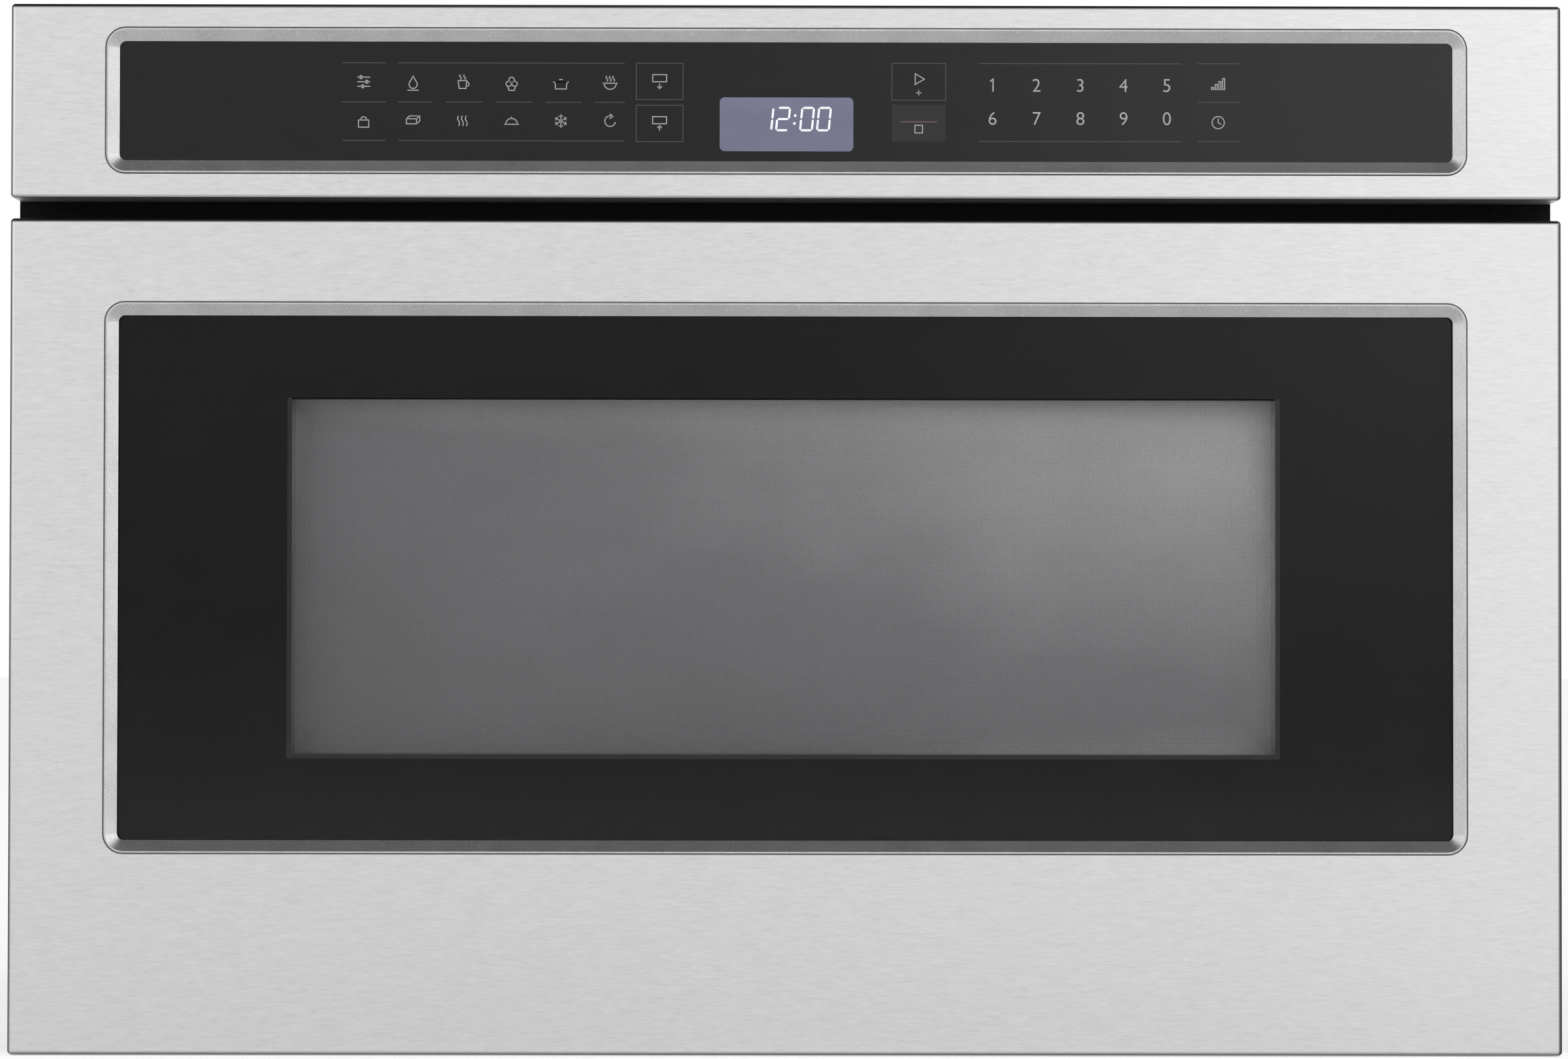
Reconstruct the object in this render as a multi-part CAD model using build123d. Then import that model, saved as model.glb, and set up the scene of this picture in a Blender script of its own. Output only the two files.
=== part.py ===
from build123d import *
import math
import os

# A built-in microwave drawer, as it comes apart on the bench. Millimetres.
# X runs to the right, Y to the back and Z up. The origin lies on the cabinet's face, at the
# underside of the casing, on the centre line. The drawer is shut.

# ---- Front ----
FRONT_WIDTH = 606.0
CONTROL_HEIGHT = 76.0
FRONT_GAP = 8.0
DOOR_HEIGHT = 326.0
FRONT_DROP = 10.0  # how far the drawer front hangs below the casing
FRONT_DEPTH = 34.0  # from the stainless face to the front frame
SKIN = 1.0  # stainless sheet
EDGE_RADIUS = 1.5  # outer bend of the stainless sheet
TRAY_LIP = 10.0

# ---- Bezels and glass ----
BEZEL_SIDE = 37.25  # stainless sheet beside each bezel
BEZEL_RADIUS = 7.5
BEZEL_INNER_RADIUS = 2.6
BEZEL_SLOPE = 4.9  # width of rim and slope together
BEZEL_RIM = 0.6
BEZEL_PROUD = 0.3
BEZEL_RECESS = 3.0  # from the stainless face back to the glass
BEZEL_GAP = 0.6  # dark line between the sheet and the bezel
BEZEL_FLANGE = 5.0  # behind the sheet
CONTROL_BEZEL_MARGIN = 9.5  # from the control panel's top
CONTROL_BEZEL_FOOT = 10.0  # from its bottom
DOOR_BEZEL_MARGIN = 32.9  # from the drawer front's top
DOOR_BEZEL_FOOT = 78.5  # from its bottom
GLASS = 3.0
GLASS_LAP = 4.0  # glass behind the bezel
WINDOW_SIDE = 71.75  # black print between the bezel's outside and the light field
WINDOW_EDGE = 37.3  # the same, above and below the light field
SCREEN_DEPTH = 12.0  # from the glass back to the window screen
SCREEN_SHEET = 0.6
SCREEN_LAP = 6.0

# ---- Casing ----
CASING_SIDE = 25.0  # front past the casing, on each side
CASING_DROP = 28.0  # from the front's top to the casing's top
BODY_DEPTH = 590.0
CASING_SHEET = 1.0
CASING_FOLD = 15.0  # folded edges of the casing sheets
FRAME_SHEET = 2.0
FRAME_INSET = 0.5  # front frame inside the front's outline
COLLAR_DEPTH = 12.0
CASING_SETBACK = 2.5  # casing sheets start behind the mounting flange
INNER_SETBACK = 2.0  # inner pieces start behind it
BOLT_SIDE = 14.0  # bolt holes from the front's sides
BOLT_LOW = 60.0
BOLT_DROP = 16.0  # upper bolt holes under the drawer front's top
BOLT_HOLE_RADIUS = 2.5
FRAME_SCREW_SIDE = 22.0  # outer frame screws from the front's sides
FRAME_SCREW_X = -59.0  # the one between them
FRAME_SCREW_LIFT = 1.0  # screws' middles over the control panel's lower edge
SCREW_HEAD_RADIUS = 3.6
SCREW_HEAD = 2.0
SCREW_RADIUS = 1.8
SCREW_LENGTH = 7.0
SCREW_CLEARANCE = 0.3

# ---- Bin and heating chamber ----
CHAMBER_SIDE = 59.5  # from the casing's outside to the bin's inside
BIN_DEPTH = 421.0  # inside, from the door frame
BIN_HEADROOM = 31.0  # from the bin's rim to the ceiling
BIN_SHEET = 1.0
BIN_RIM = 3.0
BIN_RADIUS = 22.0  # rear corners, inside
BIN_LEDGE = 12.0  # carries the ceramic floor
CERAMIC = 5.0
CHAMBER_COVER = 44.0  # drawer front above the chamber's ceiling
CAVITY_SHEET = 1.0
CAVITY_FLOOR = 80.0  # underside, above the origin
CAVITY_FOLD = 10.0
BIN_LIFT = 4.0  # air under the bin
BIN_SIDE_CLEARANCE = 2.5
BIN_REAR_CLEARANCE = 8.0

# ---- Door frame and choke ----
DOOR_FRAME_SHEET = 2.0
DOOR_GAP = 1.0  # between the shut door frame and the front frame
PLATE_INSET = 4.0  # door frame's plate inside the drawer front's outline
CHOKE_MARGIN = 1.0  # choke outside the chamber's mouth
CHOKE_WIDTH = 28.0
CHOKE_DEPTH = 18.0
CHOKE_SHEET = 1.0
CHOKE_SLOT = 3.0
CHOKE_PITCH = 26.0
CHOKE_SLIT = 14.0  # width of the slit in the back plate
CHOKE_SLIT_START = 8.0  # from the choke's inner wall
CHOKE_COVER = 2.0
CHOKE_COVER_CLEARANCE = 0.3
CHOKE_BRIDGE = 12.0  # plate left between the stretches of the slit
WELL_SHEET = 1.0
INNER_WINDOW = 2.0

# ---- Slides ----
TRAVEL = 381.0
SLIDE_LENGTH = 480.0
SLIDE_START = 2.0
SLIDE_HEIGHT = 46.0
SLIDE_THICKNESS = 12.7
SLIDE_SHEET = 1.4
SLIDE_MIDDLE_Z = 51.0
SLIDE_CLEARANCE = 0.3
SLIDE_LIP = 2.0
MIDDLE_MEMBER_HEIGHT = 36.8
MIDDLE_MEMBER_START = 2.6  # from the outer channel's back
INNER_MEMBER_HEIGHT = 26.0
INNER_MEMBER_START = 5.5
RAIL_GAP = 2.5  # between a rail bracket and the base plate's fold
RAIL_SHEET = 2.0
RAIL_ARM_HEIGHT = 36.0
RAIL_FOOT = 24.0
RAIL_WINDOW_LENGTH = 60.0
RAIL_WINDOW_HEIGHT = 14.0
RAIL_WINDOW_Z = 15.0
RAIL_WINDOW_SHARES = (0.2, 0.4, 0.6, 0.8)
SLOT_CLEARANCE = 2.0

# ---- Drive ----
MODULE = 2.0
PINION_TEETH = 18
PRESSURE_ANGLE = 20.0
BACKLASH = 0.2
RACK_X = 120.0  # pitch line
RACK_LIFT = 3.0  # rack over the motor bracket
RACK_FACE = 10.0
RACK_BACK = 8.5  # from the pitch line to the rack's smooth back
PINION_Y = 45.0
RACK_SPARE = 20.0  # rack past the pinion at each end of the travel
SHAFT_RADIUS = 4.0
RUNNING_CLEARANCE = 0.08
BRACKET_SHEET = 2.0
BRACKET_SIDE = 40.0  # from the pinion to the bracket's right leg
BRACKET_SPARE = 14.0  # from the rack to its left leg
BRACKET_FRONT = 25.0  # in front of the pinion
BRACKET_REAR = 30.0  # behind the pinion
GEARBOX_HEIGHT = 26.0
GEARBOX_LIFT = 4.0  # over the base plate
GEARBOX_HALF = 30.0  # half its width
GEARBOX_FRONT = 22.0  # in front of the pinion
GEARBOX_REAR = 24.0  # behind the pinion
GEARBOX_CORNER = 6.0
CAN_STEP = 1.0  # motor can inside the gearbox's height
MOTOR_LENGTH = 56.0
MOTOR_OFFSET = 12.0  # motor can beside the pinion
HUB_HEIGHT = 4.0  # pinion's hub over the teeth
SHAFT_DEPTH = 15.6  # shaft in the gear motor
SHAFT_BORE = 18.2
GUIDE_SHOE = 9.0  # rack guide behind the rack
GUIDE_SHOE_LENGTH = 36.0
RACK_PLATE = 6.0  # rack's thick end on the door frame

# ---- Feed, stirrer and magnetron ----
WELL_RADIUS = 94.0
WELL_DEPTH = 13.0
WELL_DRAFT = 6.0
STIRRER_GAP = 10.0  # between the antenna and the well's foot
STIRRER_SHEET = 1.5
GUIDE_WIDTH = 92.0
GUIDE_HEIGHT = 38.0
GUIDE_SHEET = 1.0
MAGNETRON_GAP = 46.0  # behind the heating chamber
MAGNETRON_WIDTH = 90.0
MAGNETRON_DEPTH = 70.0
MAGNETRON_HEIGHT = 76.0
FIN_COUNT = 9

# ---- Fan ----
FAN_SIDE = 99.0  # from the inner side of the casing to the wheel's middle
FAN_Z = 112.0
FAN_SIZE = 120.0
FAN_DEPTH = 38.0
FAN_RADIUS = 52.0
FAN_TIP_CLEARANCE = 2.0
FAN_BLADES = 7
FAN_HUB = 17.0

# ---- Interlock ----
LATCH_X = 148.0
LATCH_WIDTH = 8.0
LATCH_HEIGHT = 9.0
LATCH_REACH = 26.0  # hook's tip behind the mounting plane
LATCH_TIP = 10.0  # raised tip of the hook
LATCH_BEVEL = 4.0
LATCH_NECK = 3.0  # neck's top below the tip's top
SWITCH_SHEET = 1.5
SWITCH_SPARE = 24.0  # bracket past the middle of each hook
SWITCH_FOOT = 38.0
SWITCH_SHELF = 34.0
SWITCH_DROP = 12.0  # shelf's underside under the hooks
SWITCH_WIDTH = 8.0
SWITCH_FRONT = 8.0
SWITCH_LENGTH = 24.0
SWITCH_HEIGHT = 8.0
LEVER_WIDTH = 5.0
LEVER_LENGTH = 19.0
LEVER_FRONT = 9.0
LEVER_GAP = 0.3  # between the held lever and the hook
TERMINAL_WIDTH = 3.0
TERMINAL_LENGTH = 6.0
TERMINAL_LIFT = 2.0
TERMINAL_SHEET = 0.8

# ---- Places worked out from the sizes above ----
FRAME_FRONT = -FRAME_SHEET
FACE_Y = FRAME_FRONT - FRONT_DEPTH
SKIN_BACK = FACE_Y + SKIN
RIM_Y = FACE_Y - BEZEL_PROUD
GLASS_Y = FACE_Y + BEZEL_RECESS
GLASS_BACK = GLASS_Y + GLASS
SCREEN_Y = GLASS_BACK + SCREEN_DEPTH
HALF_FRONT = FRONT_WIDTH / 2
DOOR_LOW = -FRONT_DROP
DOOR_HIGH = DOOR_LOW + DOOR_HEIGHT
CONTROL_LOW = DOOR_HIGH + FRONT_GAP
CONTROL_HIGH = CONTROL_LOW + CONTROL_HEIGHT
BEZEL_WIDTH = FRONT_WIDTH - 2 * BEZEL_SIDE
CONTROL_BEZEL_HEIGHT = CONTROL_HEIGHT - CONTROL_BEZEL_MARGIN - CONTROL_BEZEL_FOOT
DOOR_BEZEL_HEIGHT = DOOR_HEIGHT - DOOR_BEZEL_MARGIN - DOOR_BEZEL_FOOT
WINDOW_WIDTH = BEZEL_WIDTH - 2 * WINDOW_SIDE
WINDOW_HEIGHT = DOOR_BEZEL_HEIGHT - 2 * WINDOW_EDGE
CONTROL_MIDDLE = CONTROL_HIGH - CONTROL_BEZEL_MARGIN - CONTROL_BEZEL_HEIGHT / 2
DOOR_MIDDLE = DOOR_HIGH - DOOR_BEZEL_MARGIN - DOOR_BEZEL_HEIGHT / 2
DOOR_BACK = FRAME_FRONT - DOOR_GAP
DOOR_PLATE_FRONT = DOOR_BACK - DOOR_FRAME_SHEET

HALF_BODY = HALF_FRONT - CASING_SIDE
BODY_HEIGHT = CONTROL_HIGH - CASING_DROP
INNER_HALF = HALF_BODY - CASING_SHEET
BASE_TOP = CASING_SHEET
CASING_TOP = BODY_HEIGHT - CASING_SHEET
REAR_INNER = BODY_DEPTH - CASING_SHEET
FOLD_START = COLLAR_DEPTH + 1.0

HALF_BIN = HALF_BODY - CHAMBER_SIDE
BIN_FRONT = DOOR_BACK
BIN_BACK = BIN_FRONT + BIN_DEPTH
CAVITY_INNER_Z = CAVITY_FLOOR + CAVITY_SHEET
BIN_LOW = CAVITY_INNER_Z + BIN_LIFT
CERAMIC_LOW = BIN_LOW + BIN_SHEET
BIN_FLOOR = CERAMIC_LOW + CERAMIC
CAVITY_TOP = DOOR_HIGH - CHAMBER_COVER
BIN_TOP = CAVITY_TOP - BIN_HEADROOM
HALF_CAVITY = HALF_BIN + BIN_SHEET + BIN_RIM + BIN_SIDE_CLEARANCE
CAVITY_BACK = BIN_BACK + BIN_SHEET + BIN_RIM + BIN_REAR_CLEARANCE
CAVITY_MIDDLE = (CAVITY_INNER_Z + CAVITY_TOP) / 2
STIRRER_Y = CAVITY_BACK / 2
STIRRER_RADIUS = WELL_RADIUS - WELL_DRAFT - STIRRER_GAP
MAGNETRON_Y = CAVITY_BACK + CAVITY_SHEET + MAGNETRON_GAP + MAGNETRON_DEPTH / 2
WELL_FLOOR = CAVITY_INNER_Z - WELL_DEPTH
GUIDE_TOP = WELL_FLOOR - CAVITY_SHEET
GUIDE_LOW = GUIDE_TOP - GUIDE_HEIGHT

SLIDE_BACK = INNER_HALF - CASING_SHEET - RAIL_GAP - RAIL_SHEET
SLIDE_FACE = SLIDE_BACK - SLIDE_THICKNESS
SLIDE_END = SLIDE_START + SLIDE_LENGTH
ARM_FACE = SLIDE_FACE - RAIL_SHEET
DEDENDUM = 1.25 * MODULE
PITCH_RADIUS = MODULE * PINION_TEETH / 2
PINION_X = RACK_X + PITCH_RADIUS
TOOTH_PITCH = math.pi * MODULE
BRACKET_LOW = BASE_TOP + GEARBOX_LIFT + GEARBOX_HEIGHT
BRACKET_TOP = BRACKET_LOW + BRACKET_SHEET
RACK_LOW = BRACKET_TOP + RACK_LIFT
RACK_HIGH = RACK_LOW + RACK_FACE
RACK_REAR = RACK_X - RACK_BACK
CASING_SCREW_X = INNER_HALF - CASING_FOLD / 2
FAN_X = INNER_HALF - FAN_SIDE
CASING_SCREW_SHARES = (0.1, 0.5, 0.88)
CASING_SCREW_HEIGHTS = [BODY_HEIGHT * share for share in CASING_SCREW_SHARES]
OUTER_SCREW_X = HALF_FRONT - FRAME_SCREW_SIDE
BOLT_X = HALF_FRONT - BOLT_SIDE
BOLT_HEIGHTS = (BOLT_LOW, DOOR_HIGH - BOLT_DROP)
LATCH_LOW = DOOR_HIGH - PLATE_INSET - LATCH_HEIGHT
LATCH_HIGH = LATCH_LOW + LATCH_HEIGHT
SWITCH_SHELF_LOW = LATCH_LOW - SWITCH_DROP


# ---- Forms used by many pieces ----
def block(x, y, z):
    """A box between a low and a high limit on each axis."""
    size = (x[1] - x[0], y[1] - y[0], z[1] - z[0])
    middle = ((x[0] + x[1]) / 2, (y[0] + y[1]) / 2, (z[0] + z[1]) / 2)
    return Pos(*middle) * Box(*size)


def facing(outline, front, back):
    """An outline drawn in X and Z, made solid between two depths."""
    return extrude(Plane.XZ.offset(-back) * outline, amount=back - front)


def standing(outline, low, high):
    """An outline drawn in X and Y, made solid between two heights."""
    return extrude(Plane.XY.offset(low) * outline, amount=high - low)


def sideways(outline, left, right):
    """An outline drawn in Y and Z, made solid between two places along X."""
    return extrude(Plane.YZ.offset(left) * outline, amount=right - left)


def panel(width, height, radius, middle_z):
    """A rounded rectangle on the centre line, seen from the front."""
    return Pos(0, middle_z) * RectangleRounded(width, height, radius)


def both_sides(piece):
    """A piece and its mirror image on the other side of the centre line."""
    return piece + mirror(piece, about=Plane.YZ)


def mirrored(piece):
    return mirror(piece, about=Plane.YZ)


def screw_along_y(x, z, seat):
    """A pan head screw driven towards the front from a sheet's rear face."""
    head = facing(Pos(x, z) * Circle(SCREW_HEAD_RADIUS), seat, seat + SCREW_HEAD)
    shank = facing(Pos(x, z) * Circle(SCREW_RADIUS), seat - SCREW_LENGTH, seat)
    return head + shank


def screw_hole(x, z, front, back):
    return facing(Pos(x, z) * Circle(SCREW_RADIUS + SCREW_CLEARANCE), front, back)


def frame_screw_places():
    """The middles of the screws under the control panel, seen from the front."""
    z = CONTROL_LOW + FRAME_SCREW_LIFT
    return [(x, z) for x in (-OUTER_SCREW_X, FRAME_SCREW_X, OUTER_SCREW_X)]


# ---- Stainless fronts, bezels and glass ----
def stainless_tray(low, high, back, opening):
    """A folded sheet front: face, four returns and rear lips, with soft edges."""
    outer = block((-HALF_FRONT, HALF_FRONT), (FACE_Y, back), (low, high))
    bends = outer.faces().sort_by(Axis.Y)[0].edges() + outer.edges().filter_by(Axis.Y)
    outer = fillet(bends, EDGE_RADIUS)
    inside = block(
        (-HALF_FRONT + SKIN, HALF_FRONT - SKIN), (SKIN_BACK, back - SKIN), (low + SKIN, high - SKIN)
    )
    rear = block(
        (-HALF_FRONT + TRAY_LIP, HALF_FRONT - TRAY_LIP),
        (back - 2 * SKIN, back),
        (low + TRAY_LIP, high - TRAY_LIP),
    )
    return outer - inside - rear - opening


def bezel_hole(height, middle_z):
    """The opening in the stainless sheet that the bezel's rim fills."""
    width = BEZEL_WIDTH + 2 * BEZEL_GAP
    outline = panel(width, height + 2 * BEZEL_GAP, BEZEL_RADIUS + BEZEL_GAP, middle_z)
    return facing(outline, FACE_Y, SKIN_BACK)


def bezel(height, middle_z):
    """A frame whose face slopes in from a thin rim to the glass."""
    rim = facing(panel(BEZEL_WIDTH, height, BEZEL_RADIUS, middle_z), RIM_Y, SKIN_BACK)
    flange = facing(
        panel(
            BEZEL_WIDTH + 2 * BEZEL_FLANGE,
            height + 2 * BEZEL_FLANGE,
            BEZEL_RADIUS + BEZEL_FLANGE,
            middle_z,
        ),
        SKIN_BACK,
        GLASS_Y,
    )
    front = panel(
        BEZEL_WIDTH - 2 * BEZEL_RIM, height - 2 * BEZEL_RIM, BEZEL_RADIUS - BEZEL_RIM, middle_z
    )
    back = panel(
        BEZEL_WIDTH - 2 * BEZEL_SLOPE, height - 2 * BEZEL_SLOPE, BEZEL_INNER_RADIUS, middle_z
    )
    mouth = loft([Plane.XZ.offset(-RIM_Y) * front, Plane.XZ.offset(-GLASS_Y) * back])
    return rim + flange - mouth


def glass_outline(height, middle_z, spare=0.0):
    grow = 2 * (GLASS_LAP - BEZEL_SLOPE + spare)
    return panel(BEZEL_WIDTH + grow, height + grow, BEZEL_INNER_RADIUS + spare, middle_z)


def control_panel_frame():
    tray = stainless_tray(
        CONTROL_LOW, CONTROL_HIGH, FRAME_FRONT, bezel_hole(CONTROL_BEZEL_HEIGHT, CONTROL_MIDDLE)
    )
    # The lower return stops short, clear of the screw heads on the front frame.
    relief = block(
        (-HALF_FRONT, HALF_FRONT),
        (FRAME_FRONT - SCREW_HEAD - SKIN, FRAME_FRONT),
        (CONTROL_LOW, CONTROL_LOW + TRAY_LIP),
    )
    return tray - relief


def drawer_front_skin():
    return stainless_tray(
        DOOR_LOW, DOOR_HIGH, DOOR_PLATE_FRONT, bezel_hole(DOOR_BEZEL_HEIGHT, DOOR_MIDDLE)
    )


def control_glass():
    return facing(glass_outline(CONTROL_BEZEL_HEIGHT, CONTROL_MIDDLE), GLASS_Y, GLASS_BACK)


def door_glass():
    return facing(glass_outline(DOOR_BEZEL_HEIGHT, DOOR_MIDDLE), GLASS_Y, GLASS_BACK)


# ---- Controls ----
DISPLAY_WIDTH = 52.3
DISPLAY_HEIGHT = 21.1
DISPLAY_DROP = 8.85  # below the middle of the control glass
DISPLAY_CASE = 4.0
DISPLAY_DEPTH = 8.0
BOX_WALL = 2.5
BOX_CLEARANCE = 0.5
BOX_BACK = FRAME_FRONT - 4.0
BOARD = 1.6
BOARD_LENGTH = 500.0
BOARD_HEIGHT = 44.0
BOARD_Y = GLASS_BACK + DISPLAY_DEPTH
POST_RADIUS = 3.0
POST_PITCH = 150.0
POST_ROW = 16.0
FOOT_RADIUS = 5.0
# Place along the board, side and height of each square part on its rear.
BOARD_PARTS = [
    (-80.0, 16.0, 3.0),
    (-50.0, 12.0, 6.0),
    (40.0, 14.0, 3.0),
    (90.0, 12.0, 6.0),
    (200.0, 20.0, 5.0),
]


def board_posts():
    """Where the control board is held, seen from the front."""
    return [(x, CONTROL_MIDDLE + z) for x in (-POST_PITCH, POST_PITCH) for z in (-POST_ROW, POST_ROW)]


def control_box():
    """A moulded tray that presses the glass to the bezel and stands on the front frame."""
    outline = glass_outline(CONTROL_BEZEL_HEIGHT, CONTROL_MIDDLE, BOX_CLEARANCE + BOX_WALL)
    hollow = glass_outline(CONTROL_BEZEL_HEIGHT, CONTROL_MIDDLE, BOX_CLEARANCE)
    seat = glass_outline(CONTROL_BEZEL_HEIGHT, CONTROL_MIDDLE, -BOX_WALL)
    box = facing(outline, GLASS_Y, BOX_BACK)
    box -= facing(hollow, GLASS_Y, GLASS_BACK)
    box -= facing(seat, GLASS_BACK, BOX_BACK - BOX_WALL)
    for x, z in board_posts():
        box += facing(Pos(x, z) * Circle(POST_RADIUS), BOARD_Y + BOARD, BOX_BACK - BOX_WALL)
        box += facing(Pos(x, z) * Circle(FOOT_RADIUS), BOX_BACK, FRAME_FRONT)
    return box


def control_board():
    """The board behind the glass, with its relays and processor on the rear."""
    board = facing(panel(BOARD_LENGTH, BOARD_HEIGHT, 2.0, CONTROL_MIDDLE), BOARD_Y, BOARD_Y + BOARD)
    part_y = BOARD_Y + BOARD
    for x, size, height in BOARD_PARTS:
        board += facing(Pos(x, CONTROL_MIDDLE) * Rectangle(size, size), part_y, part_y + height)
    return board


def display_module():
    outline = Pos(0, CONTROL_MIDDLE - DISPLAY_DROP) * RectangleRounded(
        DISPLAY_WIDTH + DISPLAY_CASE, DISPLAY_HEIGHT + DISPLAY_CASE, 2.0
    )
    return facing(outline, GLASS_BACK, GLASS_BACK + DISPLAY_DEPTH)


# ---- Casing and front frame ----
GLAND_SIDE = 72.0  # from the inner side of the casing
GLAND_X = GLAND_SIDE - INNER_HALF
GLAND_Z = 60.0
GLAND_HOLE = 11.0
GLAND_BORE = 4.3
GLAND_FLANGE = 15.0
GLAND_FLANGE_DEPTH = 3.0
GLAND_NOSE = 7.0
GLAND_NOSE_ROOT = 10.0
GLAND_NOSE_TIP = 8.0
GLAND_TAIL = 14.0
VENT_COLUMNS = 3
VENT_ROWS = 8
VENT_LENGTH = 32.0
VENT_WIDTH = 5.0
VENT_PITCH_X = 40.0
VENT_PITCH_Z = 12.0
BEAD_LENGTH = 330.0
BEAD_WIDTH = 14.0
BEAD_HEIGHT = 1.0
BEAD_DRAW = 1.5  # the bead's wall, seen from above
BEAD_X = HALF_CAVITY * 0.75
WIRING_WIDTH = 160.0
WIRING_HEIGHT = 26.0


def slot_box(front, back):
    """The slot in the front frame that the slides and the rail arm run through."""
    half = SLIDE_HEIGHT / 2 + SLOT_CLEARANCE
    return block(
        (ARM_FACE - SLOT_CLEARANCE, SLIDE_BACK),
        (front, back),
        (SLIDE_MIDDLE_Z - half, SLIDE_MIDDLE_Z + half),
    )


def front_frame():
    """The black frame behind both fronts: mounting flange, chamber mouth and casing collar."""
    half = HALF_FRONT - FRAME_INSET
    plate = block((-half, half), (FRAME_FRONT, 0), (BASE_TOP, CONTROL_HIGH - FRAME_INSET))
    collar = block((-INNER_HALF, INNER_HALF), (0, COLLAR_DEPTH), (BASE_TOP, CASING_TOP))
    inner = INNER_HALF - CASING_SHEET
    collar -= block(
        (-inner, inner), (0, COLLAR_DEPTH), (BASE_TOP + CASING_SHEET, CASING_TOP - CASING_SHEET)
    )
    frame = plate + collar
    frame -= block((-HALF_CAVITY, HALF_CAVITY), (FRAME_FRONT, 0), (CAVITY_INNER_Z, CAVITY_TOP))
    frame -= both_sides(slot_box(FRAME_FRONT, 0))
    frame -= block(
        (RACK_REAR - SLOT_CLEARANCE, RACK_X + MODULE + SLOT_CLEARANCE),
        (FRAME_FRONT, 0),
        (RACK_LOW - SLOT_CLEARANCE, RACK_HIGH + SLOT_CLEARANCE),
    )
    latch = block(
        (LATCH_X - LATCH_WIDTH / 2 - SLOT_CLEARANCE, LATCH_X + LATCH_WIDTH / 2 + SLOT_CLEARANCE),
        (FRAME_FRONT, 0),
        (LATCH_LOW - SLOT_CLEARANCE, LATCH_HIGH + SLOT_CLEARANCE),
    )
    frame -= both_sides(latch)
    wiring = Pos(0, CONTROL_MIDDLE) * RectangleRounded(WIRING_WIDTH, WIRING_HEIGHT, 4.0)
    frame -= facing(wiring, FRAME_FRONT, 0)
    for x in (-BOLT_X, BOLT_X):
        for z in BOLT_HEIGHTS:
            frame -= facing(Pos(x, z) * Circle(BOLT_HOLE_RADIUS), FRAME_FRONT, 0)
    for x, z in frame_screw_places():
        frame -= screw_hole(x, z, FRAME_FRONT, 0)
    return frame


def frame_screws():
    """Screws whose heads show in the gap, just under the control panel."""
    screws = []
    for x, z in frame_screw_places():
        head = facing(
            Pos(x, z) * Circle(SCREW_HEAD_RADIUS), FRAME_FRONT - SCREW_HEAD, FRAME_FRONT
        )
        shank = facing(Pos(x, z) * Circle(SCREW_RADIUS), FRAME_FRONT, 0)
        screws.append(head + shank)
    return Compound(children=screws)


def base_plate():
    """The floor sheet, with folded sides and rear and two pressed stiffening beads."""
    plate = block((-INNER_HALF, INNER_HALF), (0, REAR_INNER), (0, BASE_TOP))
    fold_x = (INNER_HALF - CASING_SHEET, INNER_HALF)
    rear_fold = REAR_INNER - CASING_SHEET
    plate += both_sides(block(fold_x, (FOLD_START, REAR_INNER), (BASE_TOP, CASING_FOLD)))
    plate += block((-INNER_HALF, INNER_HALF), (rear_fold, REAR_INNER), (BASE_TOP, CASING_FOLD))
    bead = SlotOverall(BEAD_LENGTH, BEAD_WIDTH, rotation=90)
    groove = SlotOverall(BEAD_LENGTH - 2 * BEAD_DRAW, BEAD_WIDTH - 2 * BEAD_DRAW, rotation=90)
    for x in (-BEAD_X, BEAD_X):
        plate += standing(Pos(x, BODY_DEPTH / 2) * bead, BASE_TOP, BASE_TOP + BEAD_HEIGHT)
        plate -= standing(Pos(x, BODY_DEPTH / 2) * groove, 0, BEAD_HEIGHT)
    return plate


def casing_side_right():
    """A side sheet folded inwards along its top and rear edges."""
    side = block((INNER_HALF, HALF_BODY), (CASING_SETBACK, REAR_INNER), (0, CASING_TOP))
    fold = (INNER_HALF - CASING_FOLD, INNER_HALF)
    side += block(fold, (FOLD_START, REAR_INNER), (CASING_TOP - CASING_SHEET, CASING_TOP))
    side += block(
        fold,
        (REAR_INNER - CASING_SHEET, REAR_INNER),
        (CASING_FOLD + 1.0, CASING_TOP - CASING_SHEET),
    )
    for z in CASING_SCREW_HEIGHTS:
        side -= screw_hole(CASING_SCREW_X, z, REAR_INNER - CASING_SHEET, REAR_INNER)
    return side


def casing_top():
    """The lid sheet, with its rear edge folded down and two pressed stiffening beads."""
    lid = block((-HALF_BODY, HALF_BODY), (CASING_SETBACK, BODY_DEPTH), (CASING_TOP, BODY_HEIGHT))
    bead = SlotOverall(BEAD_LENGTH, BEAD_WIDTH, rotation=90)
    groove = SlotOverall(BEAD_LENGTH - 2 * BEAD_DRAW, BEAD_WIDTH - 2 * BEAD_DRAW, rotation=90)
    for x in (-BEAD_X, BEAD_X):
        lid += standing(Pos(x, BODY_DEPTH / 2) * bead, BODY_HEIGHT, BODY_HEIGHT + BEAD_HEIGHT)
        lid -= standing(Pos(x, BODY_DEPTH / 2) * groove, CASING_TOP, CASING_TOP + BEAD_HEIGHT)
    inner_x = INNER_HALF - CASING_FOLD - 1.0
    rear = (REAR_INNER - CASING_SHEET, REAR_INNER)
    lid += block((-inner_x, inner_x), rear, (CASING_TOP - CASING_FOLD, CASING_TOP))
    return lid


def vent_places():
    """The middles of the slots over the fan."""
    across = [(n - (VENT_COLUMNS - 1) / 2) * VENT_PITCH_X for n in range(VENT_COLUMNS)]
    up = [(n - (VENT_ROWS - 1) / 2) * VENT_PITCH_Z for n in range(VENT_ROWS)]
    return [(FAN_X + x, FAN_Z + z) for x in across for z in up]


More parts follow.
